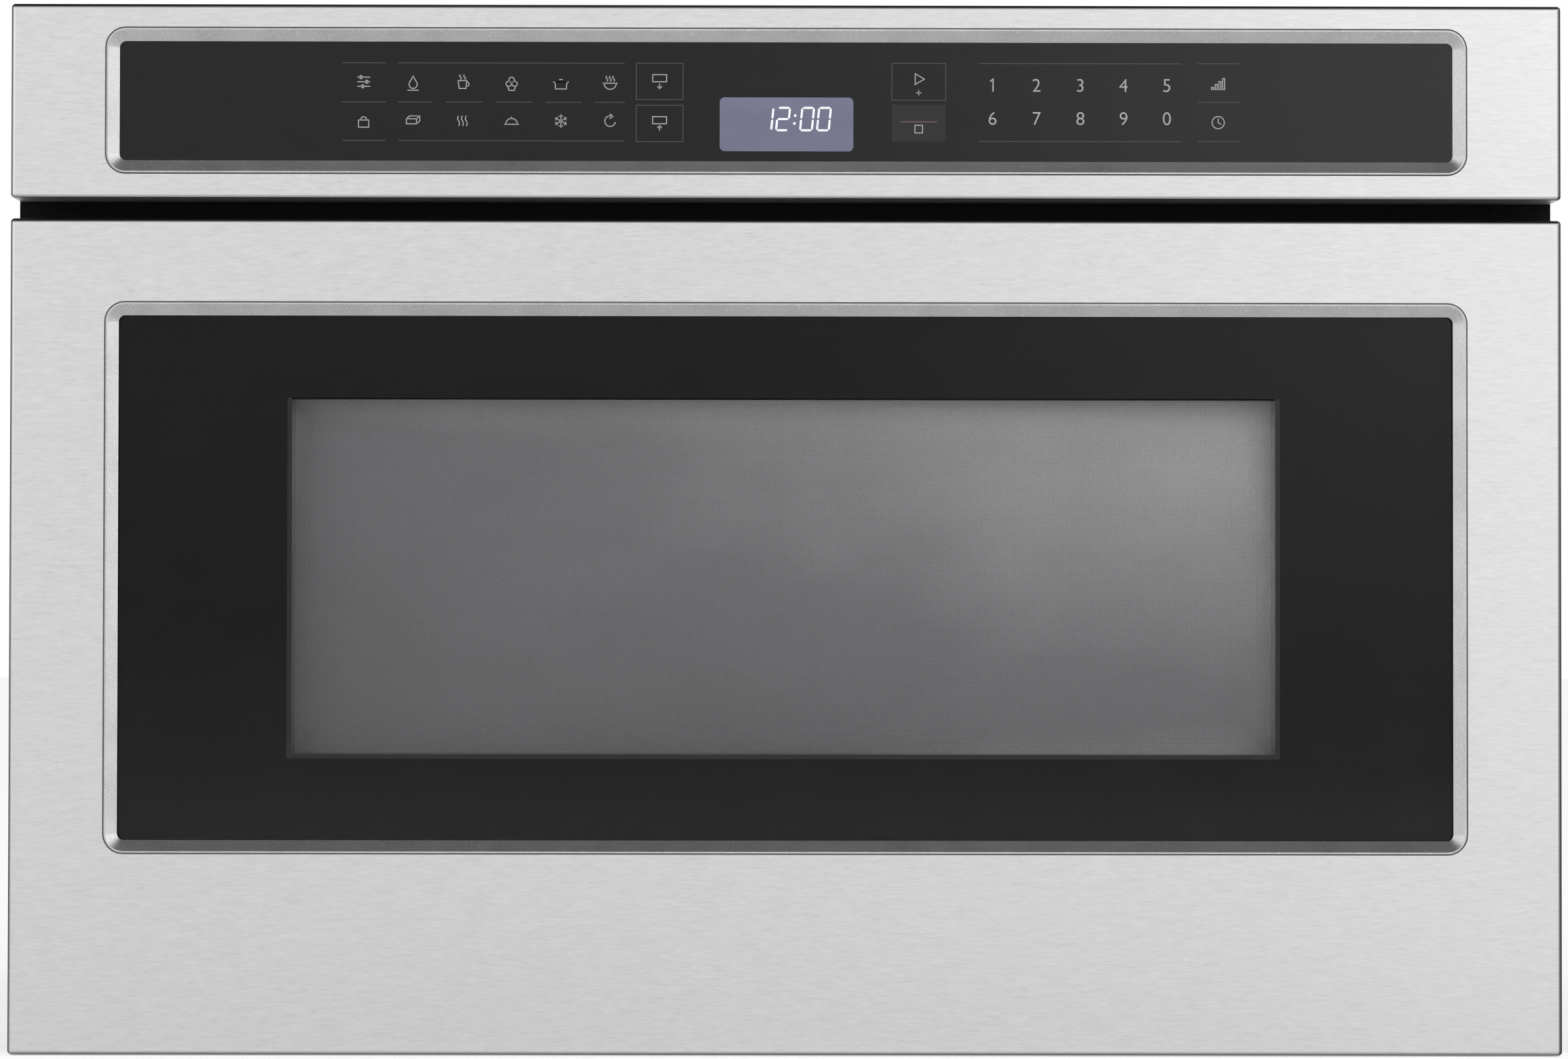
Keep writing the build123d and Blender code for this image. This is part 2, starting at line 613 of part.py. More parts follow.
def rear_panel():
    """The rear sheet, with the fan's vent slots, exhaust slots and the gland's hole."""
    sheet = block((-HALF_BODY, HALF_BODY), (REAR_INNER, BODY_DEPTH), (0, CASING_TOP))
    slots = [Pos(x, z) * Rectangle(VENT_LENGTH, VENT_WIDTH) for x, z in vent_places()]
    sheet -= facing(Sketch() + slots, REAR_INNER, BODY_DEPTH)
    sheet -= facing(Pos(GLAND_X, GLAND_Z) * Circle(GLAND_HOLE), REAR_INNER, BODY_DEPTH)
    for x in (-CASING_SCREW_X, CASING_SCREW_X):
        for z in CASING_SCREW_HEIGHTS:
            sheet -= screw_hole(x, z, REAR_INNER, BODY_DEPTH)
    return sheet


def casing_screws():
    places = [(x, z) for x in (-CASING_SCREW_X, CASING_SCREW_X) for z in CASING_SCREW_HEIGHTS]
    return Compound(children=[screw_along_y(x, z, BODY_DEPTH) for x, z in places])


def cord_gland():
    """The bush that a mains lead passes through, one turned profile clipped into the rear panel."""
    tail = BODY_DEPTH - GLAND_TAIL
    flange_back = BODY_DEPTH + GLAND_FLANGE_DEPTH
    nose_back = flange_back + GLAND_NOSE
    profile = Polyline(
        (GLAND_BORE, tail),
        (GLAND_HOLE, tail),
        (GLAND_HOLE, BODY_DEPTH),
        (GLAND_FLANGE, BODY_DEPTH),
        (GLAND_FLANGE, flange_back),
        (GLAND_NOSE_ROOT, flange_back),
        (GLAND_NOSE_TIP, nose_back),
        (GLAND_BORE, nose_back),
        close=True,
    )
    return Pos(GLAND_X, 0, GLAND_Z) * revolve(make_face(profile), Axis.Y)


# ---- Heating chamber ----
def bin_outline(grow):
    """The bin in plan, open at the front, with round rear corners."""
    half = HALF_BIN + grow
    back = BIN_BACK + grow
    radius = BIN_RADIUS + grow
    outline = FilletPolyline(
        (-half, BIN_FRONT), (-half, back), (half, back), (half, BIN_FRONT), radius=radius
    )
    return make_face(outline + Line((half, BIN_FRONT), (-half, BIN_FRONT)))


def bin_shell():
    """Left, rear and right walls in one, with a rolled rim and a ledge for the floor."""
    walls = standing(bin_outline(BIN_SHEET) - bin_outline(0), BIN_LOW, BIN_TOP)
    ledge = standing(bin_outline(BIN_SHEET) - bin_outline(-BIN_LEDGE), BIN_LOW, CERAMIC_LOW)
    rim = standing(bin_outline(BIN_SHEET + BIN_RIM) - bin_outline(0), BIN_TOP - BIN_RIM, BIN_TOP)
    front_ledge = block(
        (-HALF_BIN, HALF_BIN), (BIN_FRONT, BIN_FRONT + BIN_LEDGE), (BIN_LOW, CERAMIC_LOW)
    )
    return walls + ledge + rim + front_ledge


def ceramic_floor():
    """The heat-proof glass ceramic plate in the bottom of the bin."""
    return standing(bin_outline(0), CERAMIC_LOW, BIN_FLOOR)


def cavity_wrap():
    """Floor and side walls of the heating chamber, with the drawn well for the stirrer."""
    outer = HALF_CAVITY + CAVITY_SHEET
    wrap = block((-outer, outer), (0, CAVITY_BACK), (CAVITY_FLOOR, CAVITY_TOP))
    wrap -= block((-HALF_CAVITY, HALF_CAVITY), (0, CAVITY_BACK), (CAVITY_INNER_Z, CAVITY_TOP))
    fold = (outer, outer + CAVITY_FOLD)
    wrap += both_sides(block(fold, (0, CAVITY_BACK), (CAVITY_TOP - CAVITY_SHEET, CAVITY_TOP)))
    place = Pos(0, STIRRER_Y, 0)
    low = WELL_FLOOR - CAVITY_SHEET
    wrap += place * loft(
        [
            Plane.XY.offset(low) * Circle(WELL_RADIUS - WELL_DRAFT + CAVITY_SHEET),
            Plane.XY.offset(CAVITY_FLOOR) * Circle(WELL_RADIUS + CAVITY_SHEET),
        ]
    )
    wrap -= place * loft(
        [
            Plane.XY.offset(WELL_FLOOR) * Circle(WELL_RADIUS - WELL_DRAFT),
            Plane.XY.offset(CAVITY_INNER_Z) * Circle(WELL_RADIUS),
        ]
    )
    return wrap - standing(Pos(0, STIRRER_Y) * Circle(FEED_HOLE), low, WELL_FLOOR)


FEED_HOLE = 14.0
GRID_HOLE = 2.2
GRID_SIDES = 6
GRID_PITCH = 7.0
LAMP_X = -150.0
SENSOR_X = 150.0
CEILING_Y = 380.0
LAMP_PLATE = 2.0
LAMP_PLATE_LENGTH = 38.0
LAMP_PLATE_WIDTH = 30.0
LAMP_RADIUS = 13.0
LAMP_HEIGHT = 22.0
LAMP_SOCKET_RADIUS = 9.0
LAMP_SOCKET_HEIGHT = 10.0
SENSOR_RADIUS = 10.0
SENSOR_HEIGHT = 12.0
SENSOR_SOCKET_REACH = 18.0
SENSOR_SOCKET_WIDTH = 10.0
SENSOR_SOCKET_HEIGHT = 7.0


def hole_grid(columns, rows):
    """A patch of small six-sided holes, about its own middle."""
    holes = GridLocations(GRID_PITCH, GRID_PITCH, columns, rows) * RegularPolygon(GRID_HOLE, GRID_SIDES)
    return Sketch() + holes


def cavity_ceiling():
    """The chamber's lid, with patches of holes under the lamp and the humidity sensor."""
    half = HALF_CAVITY + CAVITY_SHEET + CAVITY_FOLD
    top = CAVITY_TOP + CAVITY_SHEET
    lid = block((-half, half), (0, CAVITY_BACK + CAVITY_SHEET), (CAVITY_TOP, top))
    for x in (LAMP_X, SENSOR_X):
        lid -= standing(Pos(x, CEILING_Y) * hole_grid(4, 3), CAVITY_TOP, top)
    return lid


def cavity_rear_wall():
    """The chamber's rear wall, with a patch of air holes."""
    half = HALF_CAVITY + CAVITY_SHEET
    wall = block(
        (-half, half), (CAVITY_BACK, CAVITY_BACK + CAVITY_SHEET), (CAVITY_FLOOR, CAVITY_TOP)
    )
    holes = Pos(HALF_CAVITY / 2, CAVITY_MIDDLE) * hole_grid(6, 4)
    return wall - facing(holes, CAVITY_BACK, CAVITY_BACK + CAVITY_SHEET)


def oven_lamp():
    """The lamp's socket and bulb housing over the chamber's ceiling."""
    low = CAVITY_TOP + CAVITY_SHEET
    place = Pos(LAMP_X, CEILING_Y)
    seat = low + LAMP_PLATE
    socket_low = seat + LAMP_HEIGHT
    lamp = standing(place * Rectangle(LAMP_PLATE_LENGTH, LAMP_PLATE_WIDTH), low, seat)
    lamp += standing(place * Circle(LAMP_RADIUS), seat, socket_low)
    lamp += standing(place * Circle(LAMP_SOCKET_RADIUS), socket_low, socket_low + LAMP_SOCKET_HEIGHT)
    return lamp


def humidity_sensor():
    """The steam sensor's small case and its socket over the chamber's ceiling."""
    low = CAVITY_TOP + CAVITY_SHEET
    place = Pos(SENSOR_X, CEILING_Y)
    seat = low + LAMP_PLATE
    sensor = standing(place * Rectangle(LAMP_PLATE_LENGTH, LAMP_PLATE_WIDTH), low, seat)
    sensor += standing(place * Circle(SENSOR_RADIUS), seat, seat + SENSOR_HEIGHT)
    socket = block(
        (SENSOR_X + SENSOR_RADIUS / 2, SENSOR_X + SENSOR_SOCKET_REACH),
        (CEILING_Y - SENSOR_SOCKET_WIDTH / 2, CEILING_Y + SENSOR_SOCKET_WIDTH / 2),
        (seat, seat + SENSOR_SOCKET_HEIGHT),
    )
    return sensor + socket


def waveguide():
    """A rectangular duct from the magnetron to the stirrer's well, closed at both ends."""
    half = GUIDE_WIDTH / 2
    front = STIRRER_Y - half
    back = MAGNETRON_Y + MAGNETRON_DEPTH / 2
    duct = block((-half, half), (front, back), (GUIDE_LOW, GUIDE_TOP))
    duct -= block(
        (-half + GUIDE_SHEET, half - GUIDE_SHEET),
        (front + GUIDE_SHEET, back - GUIDE_SHEET),
        (GUIDE_LOW + GUIDE_SHEET, GUIDE_TOP - GUIDE_SHEET),
    )
    duct -= standing(Pos(0, STIRRER_Y) * Circle(FEED_HOLE), GUIDE_TOP - GUIDE_SHEET, GUIDE_TOP)
    shaft_hole = Circle(SHAFT_RADIUS + RUNNING_CLEARANCE)
    duct -= standing(Pos(0, STIRRER_Y) * shaft_hole, GUIDE_LOW, GUIDE_LOW + GUIDE_SHEET)
    duct -= standing(Pos(0, MAGNETRON_Y) * Circle(PROBE_HOLE), GUIDE_TOP - GUIDE_SHEET, GUIDE_TOP)
    return duct


PROBE_HOLE = 10.0
PROBE_RADIUS = 8.0
PROBE_LENGTH = 20.0
FIN_SHEET = 1.0
FIN_INSET = 3.0  # fins inside the yoke's open sides
ANODE_RADIUS = 20.0
ANODE_SIDES = 12
YOKE_SHEET = 2.0
FILTER_HEIGHT = 34.0
FILTER_HALF = 29.0
FILTER_CORNER = 3.0
TERMINAL_RADIUS = 4.0
TERMINAL_REACH = 10.0
TERMINAL_SPREAD = 8.0


def magnetron_yoke():
    """The folded steel yoke round the fins, open at its sides for the cooling air."""
    half_x = MAGNETRON_WIDTH / 2
    half_y = MAGNETRON_DEPTH / 2
    depth = (MAGNETRON_Y - half_y, MAGNETRON_Y + half_y)
    yoke = block((-half_x, half_x), depth, (GUIDE_TOP, GUIDE_TOP + MAGNETRON_HEIGHT))
    yoke -= block(
        (-half_x, half_x),
        (depth[0] + YOKE_SHEET, depth[1] - YOKE_SHEET),
        (GUIDE_TOP + YOKE_SHEET, GUIDE_TOP + MAGNETRON_HEIGHT - YOKE_SHEET),
    )
    place = Pos(0, MAGNETRON_Y)
    return yoke - standing(place * Circle(PROBE_HOLE), GUIDE_TOP, GUIDE_TOP + YOKE_SHEET)


def magnetron_fins():
    """The anode block with its stack of cooling fins and the feed probe below."""
    place = Pos(0, MAGNETRON_Y)
    low = GUIDE_TOP + YOKE_SHEET
    high = GUIDE_TOP + MAGNETRON_HEIGHT - YOKE_SHEET
    core = standing(place * RegularPolygon(ANODE_RADIUS, ANODE_SIDES), low, high)
    core += standing(place * Circle(PROBE_RADIUS), GUIDE_TOP - PROBE_LENGTH, low)
    pitch = (high - low) / (FIN_COUNT + 1)
    fin = Rectangle(MAGNETRON_WIDTH - 2 * FIN_INSET, MAGNETRON_DEPTH - 2 * YOKE_SHEET)
    for n in range(FIN_COUNT):
        middle = low + pitch * (n + 1)
        core += standing(place * fin, middle - FIN_SHEET / 2, middle + FIN_SHEET / 2)
    return core


def magnetron_filter_box():
    """The screening box with the heater terminals, on top of the yoke."""
    low = GUIDE_TOP + MAGNETRON_HEIGHT
    front = MAGNETRON_Y - FILTER_HALF
    box = block(
        (-FILTER_HALF, FILTER_HALF), (front, MAGNETRON_Y + FILTER_HALF), (low, low + FILTER_HEIGHT)
    )
    box = fillet(box.edges().filter_by(Axis.Z), FILTER_CORNER)
    for x in (-TERMINAL_SPREAD, TERMINAL_SPREAD):
        terminal = Pos(x, low + FILTER_HEIGHT / 2) * Circle(TERMINAL_RADIUS)
        box += facing(terminal, front - TERMINAL_REACH, front)
    return box


# ---- High voltage side ----
CORE_SIDE = 107.0  # from the inner side of the casing to the core's middle
CORE_X = CORE_SIDE - INNER_HALF
CORE_GAP = 34.0  # in front of the rear panel
CORE_WIDTH = 90.0
CORE_DEPTH = 60.0
CORE_HEIGHT = 75.0
CORE_WINDOW = 15.0
CORE_FOOT = 10.0  # feet beside the core
CORE_FOOT_INSET = 8.0
CORE_FOOT_SHEET = 3.0
COIL_SPLIT = 0.42  # primary's share of the height
SLEEVE = 1.5  # wall between the coils
SLEEVE_HEIGHT = 1.0
WINDING_CLEARANCE = 0.3
CAPACITOR_SPACING = 86.0  # between the core's middle and the can's
CAPACITOR_X = CORE_X + CAPACITOR_SPACING
CAPACITOR_GAP = 44.0  # in front of the rear panel
CAPACITOR_LENGTH = 52.0
CAPACITOR_WIDTH = 34.0
CAPACITOR_HEIGHT = 100.0
BLADE_SPREAD = 10.0  # terminals from the can's middle
BLADE_WIDTH = 6.0
BLADE_HEIGHT = 10.0
BLADE_THICKNESS = 1.0
CORE_Y = REAR_INNER - CORE_GAP - CORE_DEPTH / 2
CAPACITOR_Y = REAR_INNER - CAPACITOR_GAP - CAPACITOR_WIDTH / 2


def transformer_core():
    """The laminated core with its two winding windows and welded feet."""
    middle_z = BASE_TOP + CORE_HEIGHT / 2
    front = CORE_Y - CORE_DEPTH / 2
    back = CORE_Y + CORE_DEPTH / 2
    core = facing(Pos(CORE_X, middle_z) * Rectangle(CORE_WIDTH, CORE_HEIGHT), front, back)
    offset_x = CORE_WIDTH / 6 + CORE_WINDOW / 2
    window = Rectangle(CORE_WINDOW, CORE_HEIGHT - 2 * CORE_WINDOW)
    for x in (-offset_x, offset_x):
        core -= facing(Pos(CORE_X + x, middle_z) * window, front, back)
    foot_x = CORE_WIDTH / 2 + CORE_FOOT
    feet = block(
        (CORE_X - foot_x, CORE_X + foot_x),
        (front + CORE_FOOT_INSET, back - CORE_FOOT_INSET),
        (BASE_TOP, BASE_TOP + CORE_FOOT_SHEET),
    )
    return core + feet


def transformer_windings():
    """Primary and secondary coils, one above the other on the middle leg."""
    leg = CORE_WIDTH / 3 + 2 * WINDING_CLEARANCE
    reach = CORE_WINDOW - 2 * WINDING_CLEARANCE
    hole = Rectangle(leg, CORE_DEPTH + 2 * WINDING_CLEARANCE)
    coil = RectangleRounded(leg + 2 * reach, CORE_DEPTH + 2 * reach, reach)
    low = BASE_TOP + CORE_WINDOW + WINDING_CLEARANCE
    high = BASE_TOP + CORE_HEIGHT - CORE_WINDOW - WINDING_CLEARANCE
    split_z = low + (high - low) * COIL_SPLIT
    place = Pos(CORE_X, CORE_Y)
    lower = standing(place * (coil - hole), low, split_z - SLEEVE_HEIGHT)
    upper = standing(place * (coil - hole), split_z, high)
    wall = offset(hole, SLEEVE, kind=Kind.INTERSECTION) - hole
    return lower + standing(place * wall, split_z - SLEEVE_HEIGHT, split_z) + upper


def hv_capacitor():
    """The oval high voltage capacitor with two blade terminals."""
    top = BASE_TOP + CAPACITOR_HEIGHT
    oval = Pos(CAPACITOR_X, CAPACITOR_Y) * SlotOverall(CAPACITOR_LENGTH, CAPACITOR_WIDTH)
    can = standing(oval, BASE_TOP, top)
    for x in (CAPACITOR_X - BLADE_SPREAD, CAPACITOR_X + BLADE_SPREAD):
        blade = Pos(x, CAPACITOR_Y) * Rectangle(BLADE_WIDTH, BLADE_THICKNESS)
        can += standing(blade, top, top + BLADE_HEIGHT)
    return can


# ---- Fan ----
FAN_MOTOR_RADIUS = 16.0
FAN_MOTOR_LENGTH = 34.0
FAN_STACK = 48.0  # side of the motor's square iron stack
FAN_STACK_START = 10.0
FAN_STACK_LENGTH = 16.0
FAN_STACK_CORNER = 5.0
FAN_SHAFT = 3.0
FAN_SHAFT_LENGTH = 18.0  # inside the motor
FAN_SHAFT_END = 2.0  # bore past the shaft's end
FAN_STRUT = 5.0
FAN_STRUT_DEPTH = 4.0
FAN_STRUT_ANGLES = (90, 210, 330)
FAN_STRUT_ROOT = 1.5  # struts run into the shroud
FAN_CORNER = 8.0
FAN_FRONT = REAR_INNER - FAN_DEPTH
FAN_WHEEL_FRONT = FAN_FRONT + 10.0
FAN_WHEEL_DEPTH = 22.0
FAN_HUB_EDGE = 4.0
BLADE_SHEET = 1.4
BLADE_ROOT = 1.0  # blades run into the hub
BLADE_ROOT_CHORD = 20.0
BLADE_TIP_CHORD = 30.0
BLADE_ROOT_PITCH = 48.0
BLADE_TIP_PITCH = 28.0
BLADE_STATIONS = 3  # sections of a blade past its root


def fan_shroud():
    """The square duct round the wheel, with three struts and a ring for the motor."""
    place = Pos(FAN_X, FAN_Z)
    square = place * RectangleRounded(FAN_SIZE, FAN_SIZE, FAN_CORNER)
    shroud = facing(square, FAN_FRONT, REAR_INNER)
    shroud -= facing(place * Circle(FAN_RADIUS + FAN_TIP_CLEARANCE), FAN_FRONT, REAR_INNER)
    reach = FAN_RADIUS + FAN_TIP_CLEARANCE + FAN_STRUT_ROOT
    strut = Pos(reach / 2, 0) * Rectangle(reach, FAN_STRUT)
    struts = Sketch() + [place * Rot(0, 0, angle) * strut for angle in FAN_STRUT_ANGLES]
    struts += place * Circle(FAN_HUB)
    struts -= place * Circle(FAN_SHAFT + RUNNING_CLEARANCE)
    return shroud + facing(struts, FAN_FRONT, FAN_FRONT + FAN_STRUT_DEPTH)


def fan_motor():
    """The shaded-pole motor in front of the shroud's ring."""
    place = Pos(FAN_X, FAN_Z)
    front = FAN_FRONT - FAN_MOTOR_LENGTH
    stack_front = front + FAN_STACK_START
    motor = facing(place * Circle(FAN_MOTOR_RADIUS), front, FAN_FRONT)
    stack = RectangleRounded(FAN_STACK, FAN_STACK, FAN_STACK_CORNER)
    motor += facing(place * stack, stack_front, stack_front + FAN_STACK_LENGTH)
    bore = place * Circle(FAN_SHAFT + RUNNING_CLEARANCE)
    return motor - facing(bore, FAN_FRONT - FAN_SHAFT_LENGTH - FAN_SHAFT_END, FAN_FRONT)


def fan_blade():
    """One twisted blade, from hub to tip, pointing along X before it is turned into place."""
    root_radius = FAN_HUB - BLADE_ROOT
    rings = []
    for station in range(BLADE_STATIONS + 1):
        share = station / BLADE_STATIONS
        radius = root_radius + (FAN_RADIUS - root_radius) * share
        half = (BLADE_ROOT_CHORD + (BLADE_TIP_CHORD - BLADE_ROOT_CHORD) * share) / 2
        pitch = BLADE_ROOT_PITCH + (BLADE_TIP_PITCH - BLADE_ROOT_PITCH) * share
        along = Vector(0, 1, 0).rotate(Axis.X, pitch) * half
        across = Vector(0, 0, 1).rotate(Axis.X, pitch) * BLADE_SHEET / 2
        middle = Vector(radius, 0, 0)
        ring = [middle + along + across, middle - along + across]
        rings.append(ring + [middle - along - across, middle + along - across])
    faces = [make_face(Polyline(*ring, close=True)) for ring in (rings[0], rings[-1])]
    for inner, outer in zip(rings, rings[1:]):
        for n in range(4):
            after = (n + 1) % 4
            faces.append(make_face(Polyline(inner[n], inner[after], outer[after], close=True)))
            faces.append(make_face(Polyline(inner[n], outer[after], outer[n], close=True)))
    return Solid(Shell([sketch.face() for sketch in faces]))


def fan_wheel():
    """An axial wheel: cupped hub, twisted blades and the shaft into the motor."""
    upright = Pos(FAN_X, FAN_WHEEL_FRONT + FAN_WHEEL_DEPTH / 2, FAN_Z) * Rot(90, 0, 0)
    place = Pos(FAN_X, FAN_Z)
    wheel_back = FAN_WHEEL_FRONT + FAN_WHEEL_DEPTH
    wheel = facing(place * Circle(FAN_HUB), FAN_WHEEL_FRONT, wheel_back)
    wheel = fillet(wheel.faces().sort_by(Axis.Y)[-1].edges(), FAN_HUB_EDGE)
    wheel += facing(place * Circle(FAN_SHAFT), FAN_FRONT - FAN_SHAFT_LENGTH, FAN_WHEEL_FRONT)
    swept_disc = facing(place * Circle(FAN_RADIUS), FAN_WHEEL_FRONT, wheel_back)
    for n in range(FAN_BLADES):
        wheel += upright * Rot(0, 0, 360.0 / FAN_BLADES * n) * fan_blade() & swept_disc
    return wheel


# ---- Stirrer ----
STIRRER_MOTOR_RADIUS = 25.0
STIRRER_MOTOR_HEIGHT = 18.0
STIRRER_LIFT = 3.5  # antenna above the well's floor
STIRRER_SHAFT = 10.0  # shaft in the motor
STIRRER_SHAFT_END = 2.0  # bore past the shaft's end
STIRRER_BOSS = 9.0
STIRRER_BOSS_LIFT = 1.0
STIRRER_SLOT_LENGTH = 52.0
STIRRER_SLOT_WIDTH = 9.0
STIRRER_SLOT_RADIUS = STIRRER_RADIUS * 0.58
STIRRER_EAR = 1.0
STIRRER_EAR_LENGTH = 68.0
STIRRER_EAR_WIDTH = 14.0


def stirrer_antenna():
    """A slotted sector disc on a low-loss shaft, turned from below the waveguide."""
    low = WELL_FLOOR + STIRRER_LIFT
    place = Pos(0, STIRRER_Y)
    sector = Pos(STIRRER_RADIUS, 0) * Rectangle(STIRRER_RADIUS, STIRRER_RADIUS)
    disc = Circle(STIRRER_RADIUS) - sector
    for angle in (90, 180, 270):
        slot = Pos(STIRRER_SLOT_RADIUS, 0) * Rectangle(STIRRER_SLOT_WIDTH, STIRRER_SLOT_LENGTH)
        disc -= Rot(0, 0, angle) * slot
    boss_low = WELL_FLOOR + STIRRER_BOSS_LIFT
    plate = standing(place * disc, low, low + STIRRER_SHEET)
    boss = standing(place * Circle(STIRRER_BOSS), boss_low, low)
    shaft = standing(place * Circle(SHAFT_RADIUS), GUIDE_LOW - STIRRER_SHAFT, boss_low)
    return plate + boss + shaft


def antenna_motor():
    """The flat synchronous motor that turns the stirrer, under the waveguide."""
    place = Pos(0, STIRRER_Y)
    ear_low = GUIDE_LOW - STIRRER_EAR
    motor = standing(
        place * Circle(STIRRER_MOTOR_RADIUS), GUIDE_LOW - STIRRER_MOTOR_HEIGHT, ear_low
    )
    motor += standing(place * SlotOverall(STIRRER_EAR_LENGTH, STIRRER_EAR_WIDTH), ear_low, GUIDE_LOW)
    bore = place * Circle(SHAFT_RADIUS + RUNNING_CLEARANCE)
    return motor - standing(bore, GUIDE_LOW - STIRRER_SHAFT - STIRRER_SHAFT_END, GUIDE_LOW)


# ---- Door frame ----
CHOKE_INNER_X = HALF_CAVITY + CHOKE_MARGIN
CHOKE_OUTER_X = CHOKE_INNER_X + CHOKE_WIDTH
CHOKE_FRONT = DOOR_PLATE_FRONT - CHOKE_DEPTH
PLATE_HALF = HALF_FRONT - PLATE_INSET
PLATE_LOW = DOOR_LOW + PLATE_INSET
PLATE_HIGH = DOOR_HIGH - PLATE_INSET
CHOKE_LOW = CAVITY_INNER_Z - CHOKE_MARGIN
CHOKE_HIGH = CAVITY_TOP + CHOKE_MARGIN


def ring(inner_x, low, high, wall):
    """An upright rectangular ring round the chamber's mouth, seen from the front."""
    inner = Pos(0, (low + high) / 2) * Rectangle(2 * inner_x, high - low)
    return offset(inner, wall, kind=Kind.INTERSECTION) - inner


BUMPER_RADIUS = 3.0
BUMPER_CLEARANCE = 0.3
BUMPER_SIDE = 6.0  # from the drawer front's sides
BUMPER_INSET = 40.0  # from its top and bottom


def bumper_places():
    """The middles of the rubber buttons, on the tray's side lips."""
    x = HALF_FRONT - BUMPER_SIDE
    heights = (DOOR_LOW + BUMPER_INSET, DOOR_HIGH - BUMPER_INSET)
    return [(side, z) for side in (-x, x) for z in heights]


def window_hole(spare=0.0):
    return Pos(0, DOOR_MIDDLE) * Rectangle(WINDOW_WIDTH + 2 * spare, WINDOW_HEIGHT + 2 * spare)


def choke_slit(spare):
    """The slit in the back plate, in stretches, drawn smaller by a clearance all round."""
    start = CHOKE_SLIT_START + spare
    slit = ring(
        CHOKE_INNER_X + start, CHOKE_LOW - start, CHOKE_HIGH + start, CHOKE_SLIT - 2 * spare
    )
    bridge = CHOKE_BRIDGE + 2 * spare
    bridges = Rectangle(2 * PLATE_HALF, bridge) + Rectangle(bridge, 2 * PLATE_HALF)
    return slit - Pos(0, CAVITY_MIDDLE) * bridges


def choke_slots():
    """Narrow cuts across the choke's inner wall, all round the chamber's mouth."""
    depth = (CHOKE_FRONT + 2 * CHOKE_SHEET, DOOR_PLATE_FRONT)
    half = CHOKE_SLOT / 2
    wall = CHOKE_SHEET
    cuts = []
    across = int(2 * CHOKE_INNER_X / CHOKE_PITCH)
    for n in range(across):
        x = (n - (across - 1) / 2) * CHOKE_PITCH
        cuts.append(block((x - half, x + half), depth, (CHOKE_HIGH, CHOKE_HIGH + wall)))
        cuts.append(block((x - half, x + half), depth, (CHOKE_LOW - wall, CHOKE_LOW)))
    up = int((CHOKE_HIGH - CHOKE_LOW) / CHOKE_PITCH)
    for n in range(up):
        z = CAVITY_MIDDLE + (n - (up - 1) / 2) * CHOKE_PITCH
        for x in (-CHOKE_INNER_X - wall, CHOKE_INNER_X):
            cuts.append(block((x, x + wall), depth, (z - half, z + half)))
    return cuts


def door_frame():
    """The steel frame of the drawer front: back plate, choke channel and window well."""
    middle = (PLATE_LOW + PLATE_HIGH) / 2
    plate = Pos(0, middle) * Rectangle(2 * PLATE_HALF, PLATE_HIGH - PLATE_LOW)
    mouth = window_hole(SCREEN_LAP)
    frame = facing(plate - mouth, DOOR_PLATE_FRONT, DOOR_BACK)
    # The choke's channel opens to the rear through a slit covered by the choke cover.
    walls = ring(CHOKE_INNER_X, CHOKE_LOW, CHOKE_HIGH, CHOKE_SHEET)
    outer_low = CHOKE_LOW - CHOKE_WIDTH
    outer_high = CHOKE_HIGH + CHOKE_WIDTH
    walls += ring(CHOKE_OUTER_X, outer_low, outer_high, CHOKE_SHEET)
    frame += facing(walls, CHOKE_FRONT, DOOR_PLATE_FRONT)
    lid = ring(CHOKE_INNER_X, CHOKE_LOW, CHOKE_HIGH, CHOKE_WIDTH + CHOKE_SHEET)
    frame += facing(lid, CHOKE_FRONT - CHOKE_SHEET, CHOKE_FRONT)
    frame -= facing(choke_slit(0), DOOR_PLATE_FRONT, DOOR_BACK)
    well = offset(window_hole(), WELL_SHEET, kind=Kind.INTERSECTION) - window_hole()
    frame += facing(well, GLASS_BACK, SCREEN_Y)
    collar = window_hole(SCREEN_LAP) - window_hole()
    frame += facing(collar, SCREEN_Y - WELL_SHEET, SCREEN_Y)
    inner_collar = offset(mouth, WELL_SHEET, kind=Kind.INTERSECTION) - mouth
    frame += facing(inner_collar, SCREEN_Y - WELL_SHEET, DOOR_BACK)
    for x, z in bumper_places():
        bumper_hole = Pos(x, z) * Circle(BUMPER_RADIUS + BUMPER_CLEARANCE)
        frame -= facing(bumper_hole, DOOR_PLATE_FRONT, DOOR_BACK)
    return frame - choke_slots()


def window_screen():
    """The fine perforated sheet that keeps the microwaves in, seen as a pale field."""
    outline = window_hole(SCREEN_LAP)
    return facing(outline, SCREEN_Y, SCREEN_Y + SCREEN_SHEET)


def inner_window():
    """The clear pane that closes the window towards the bin."""
    return facing(window_hole(SCREEN_LAP), DOOR_BACK - INNER_WINDOW, DOOR_BACK)


def choke_cover():
    """The moulded ring that fills the choke's slit, flush with the back plate."""
    return facing(choke_slit(CHOKE_COVER_CLEARANCE), DOOR_BACK - CHOKE_COVER, DOOR_BACK)


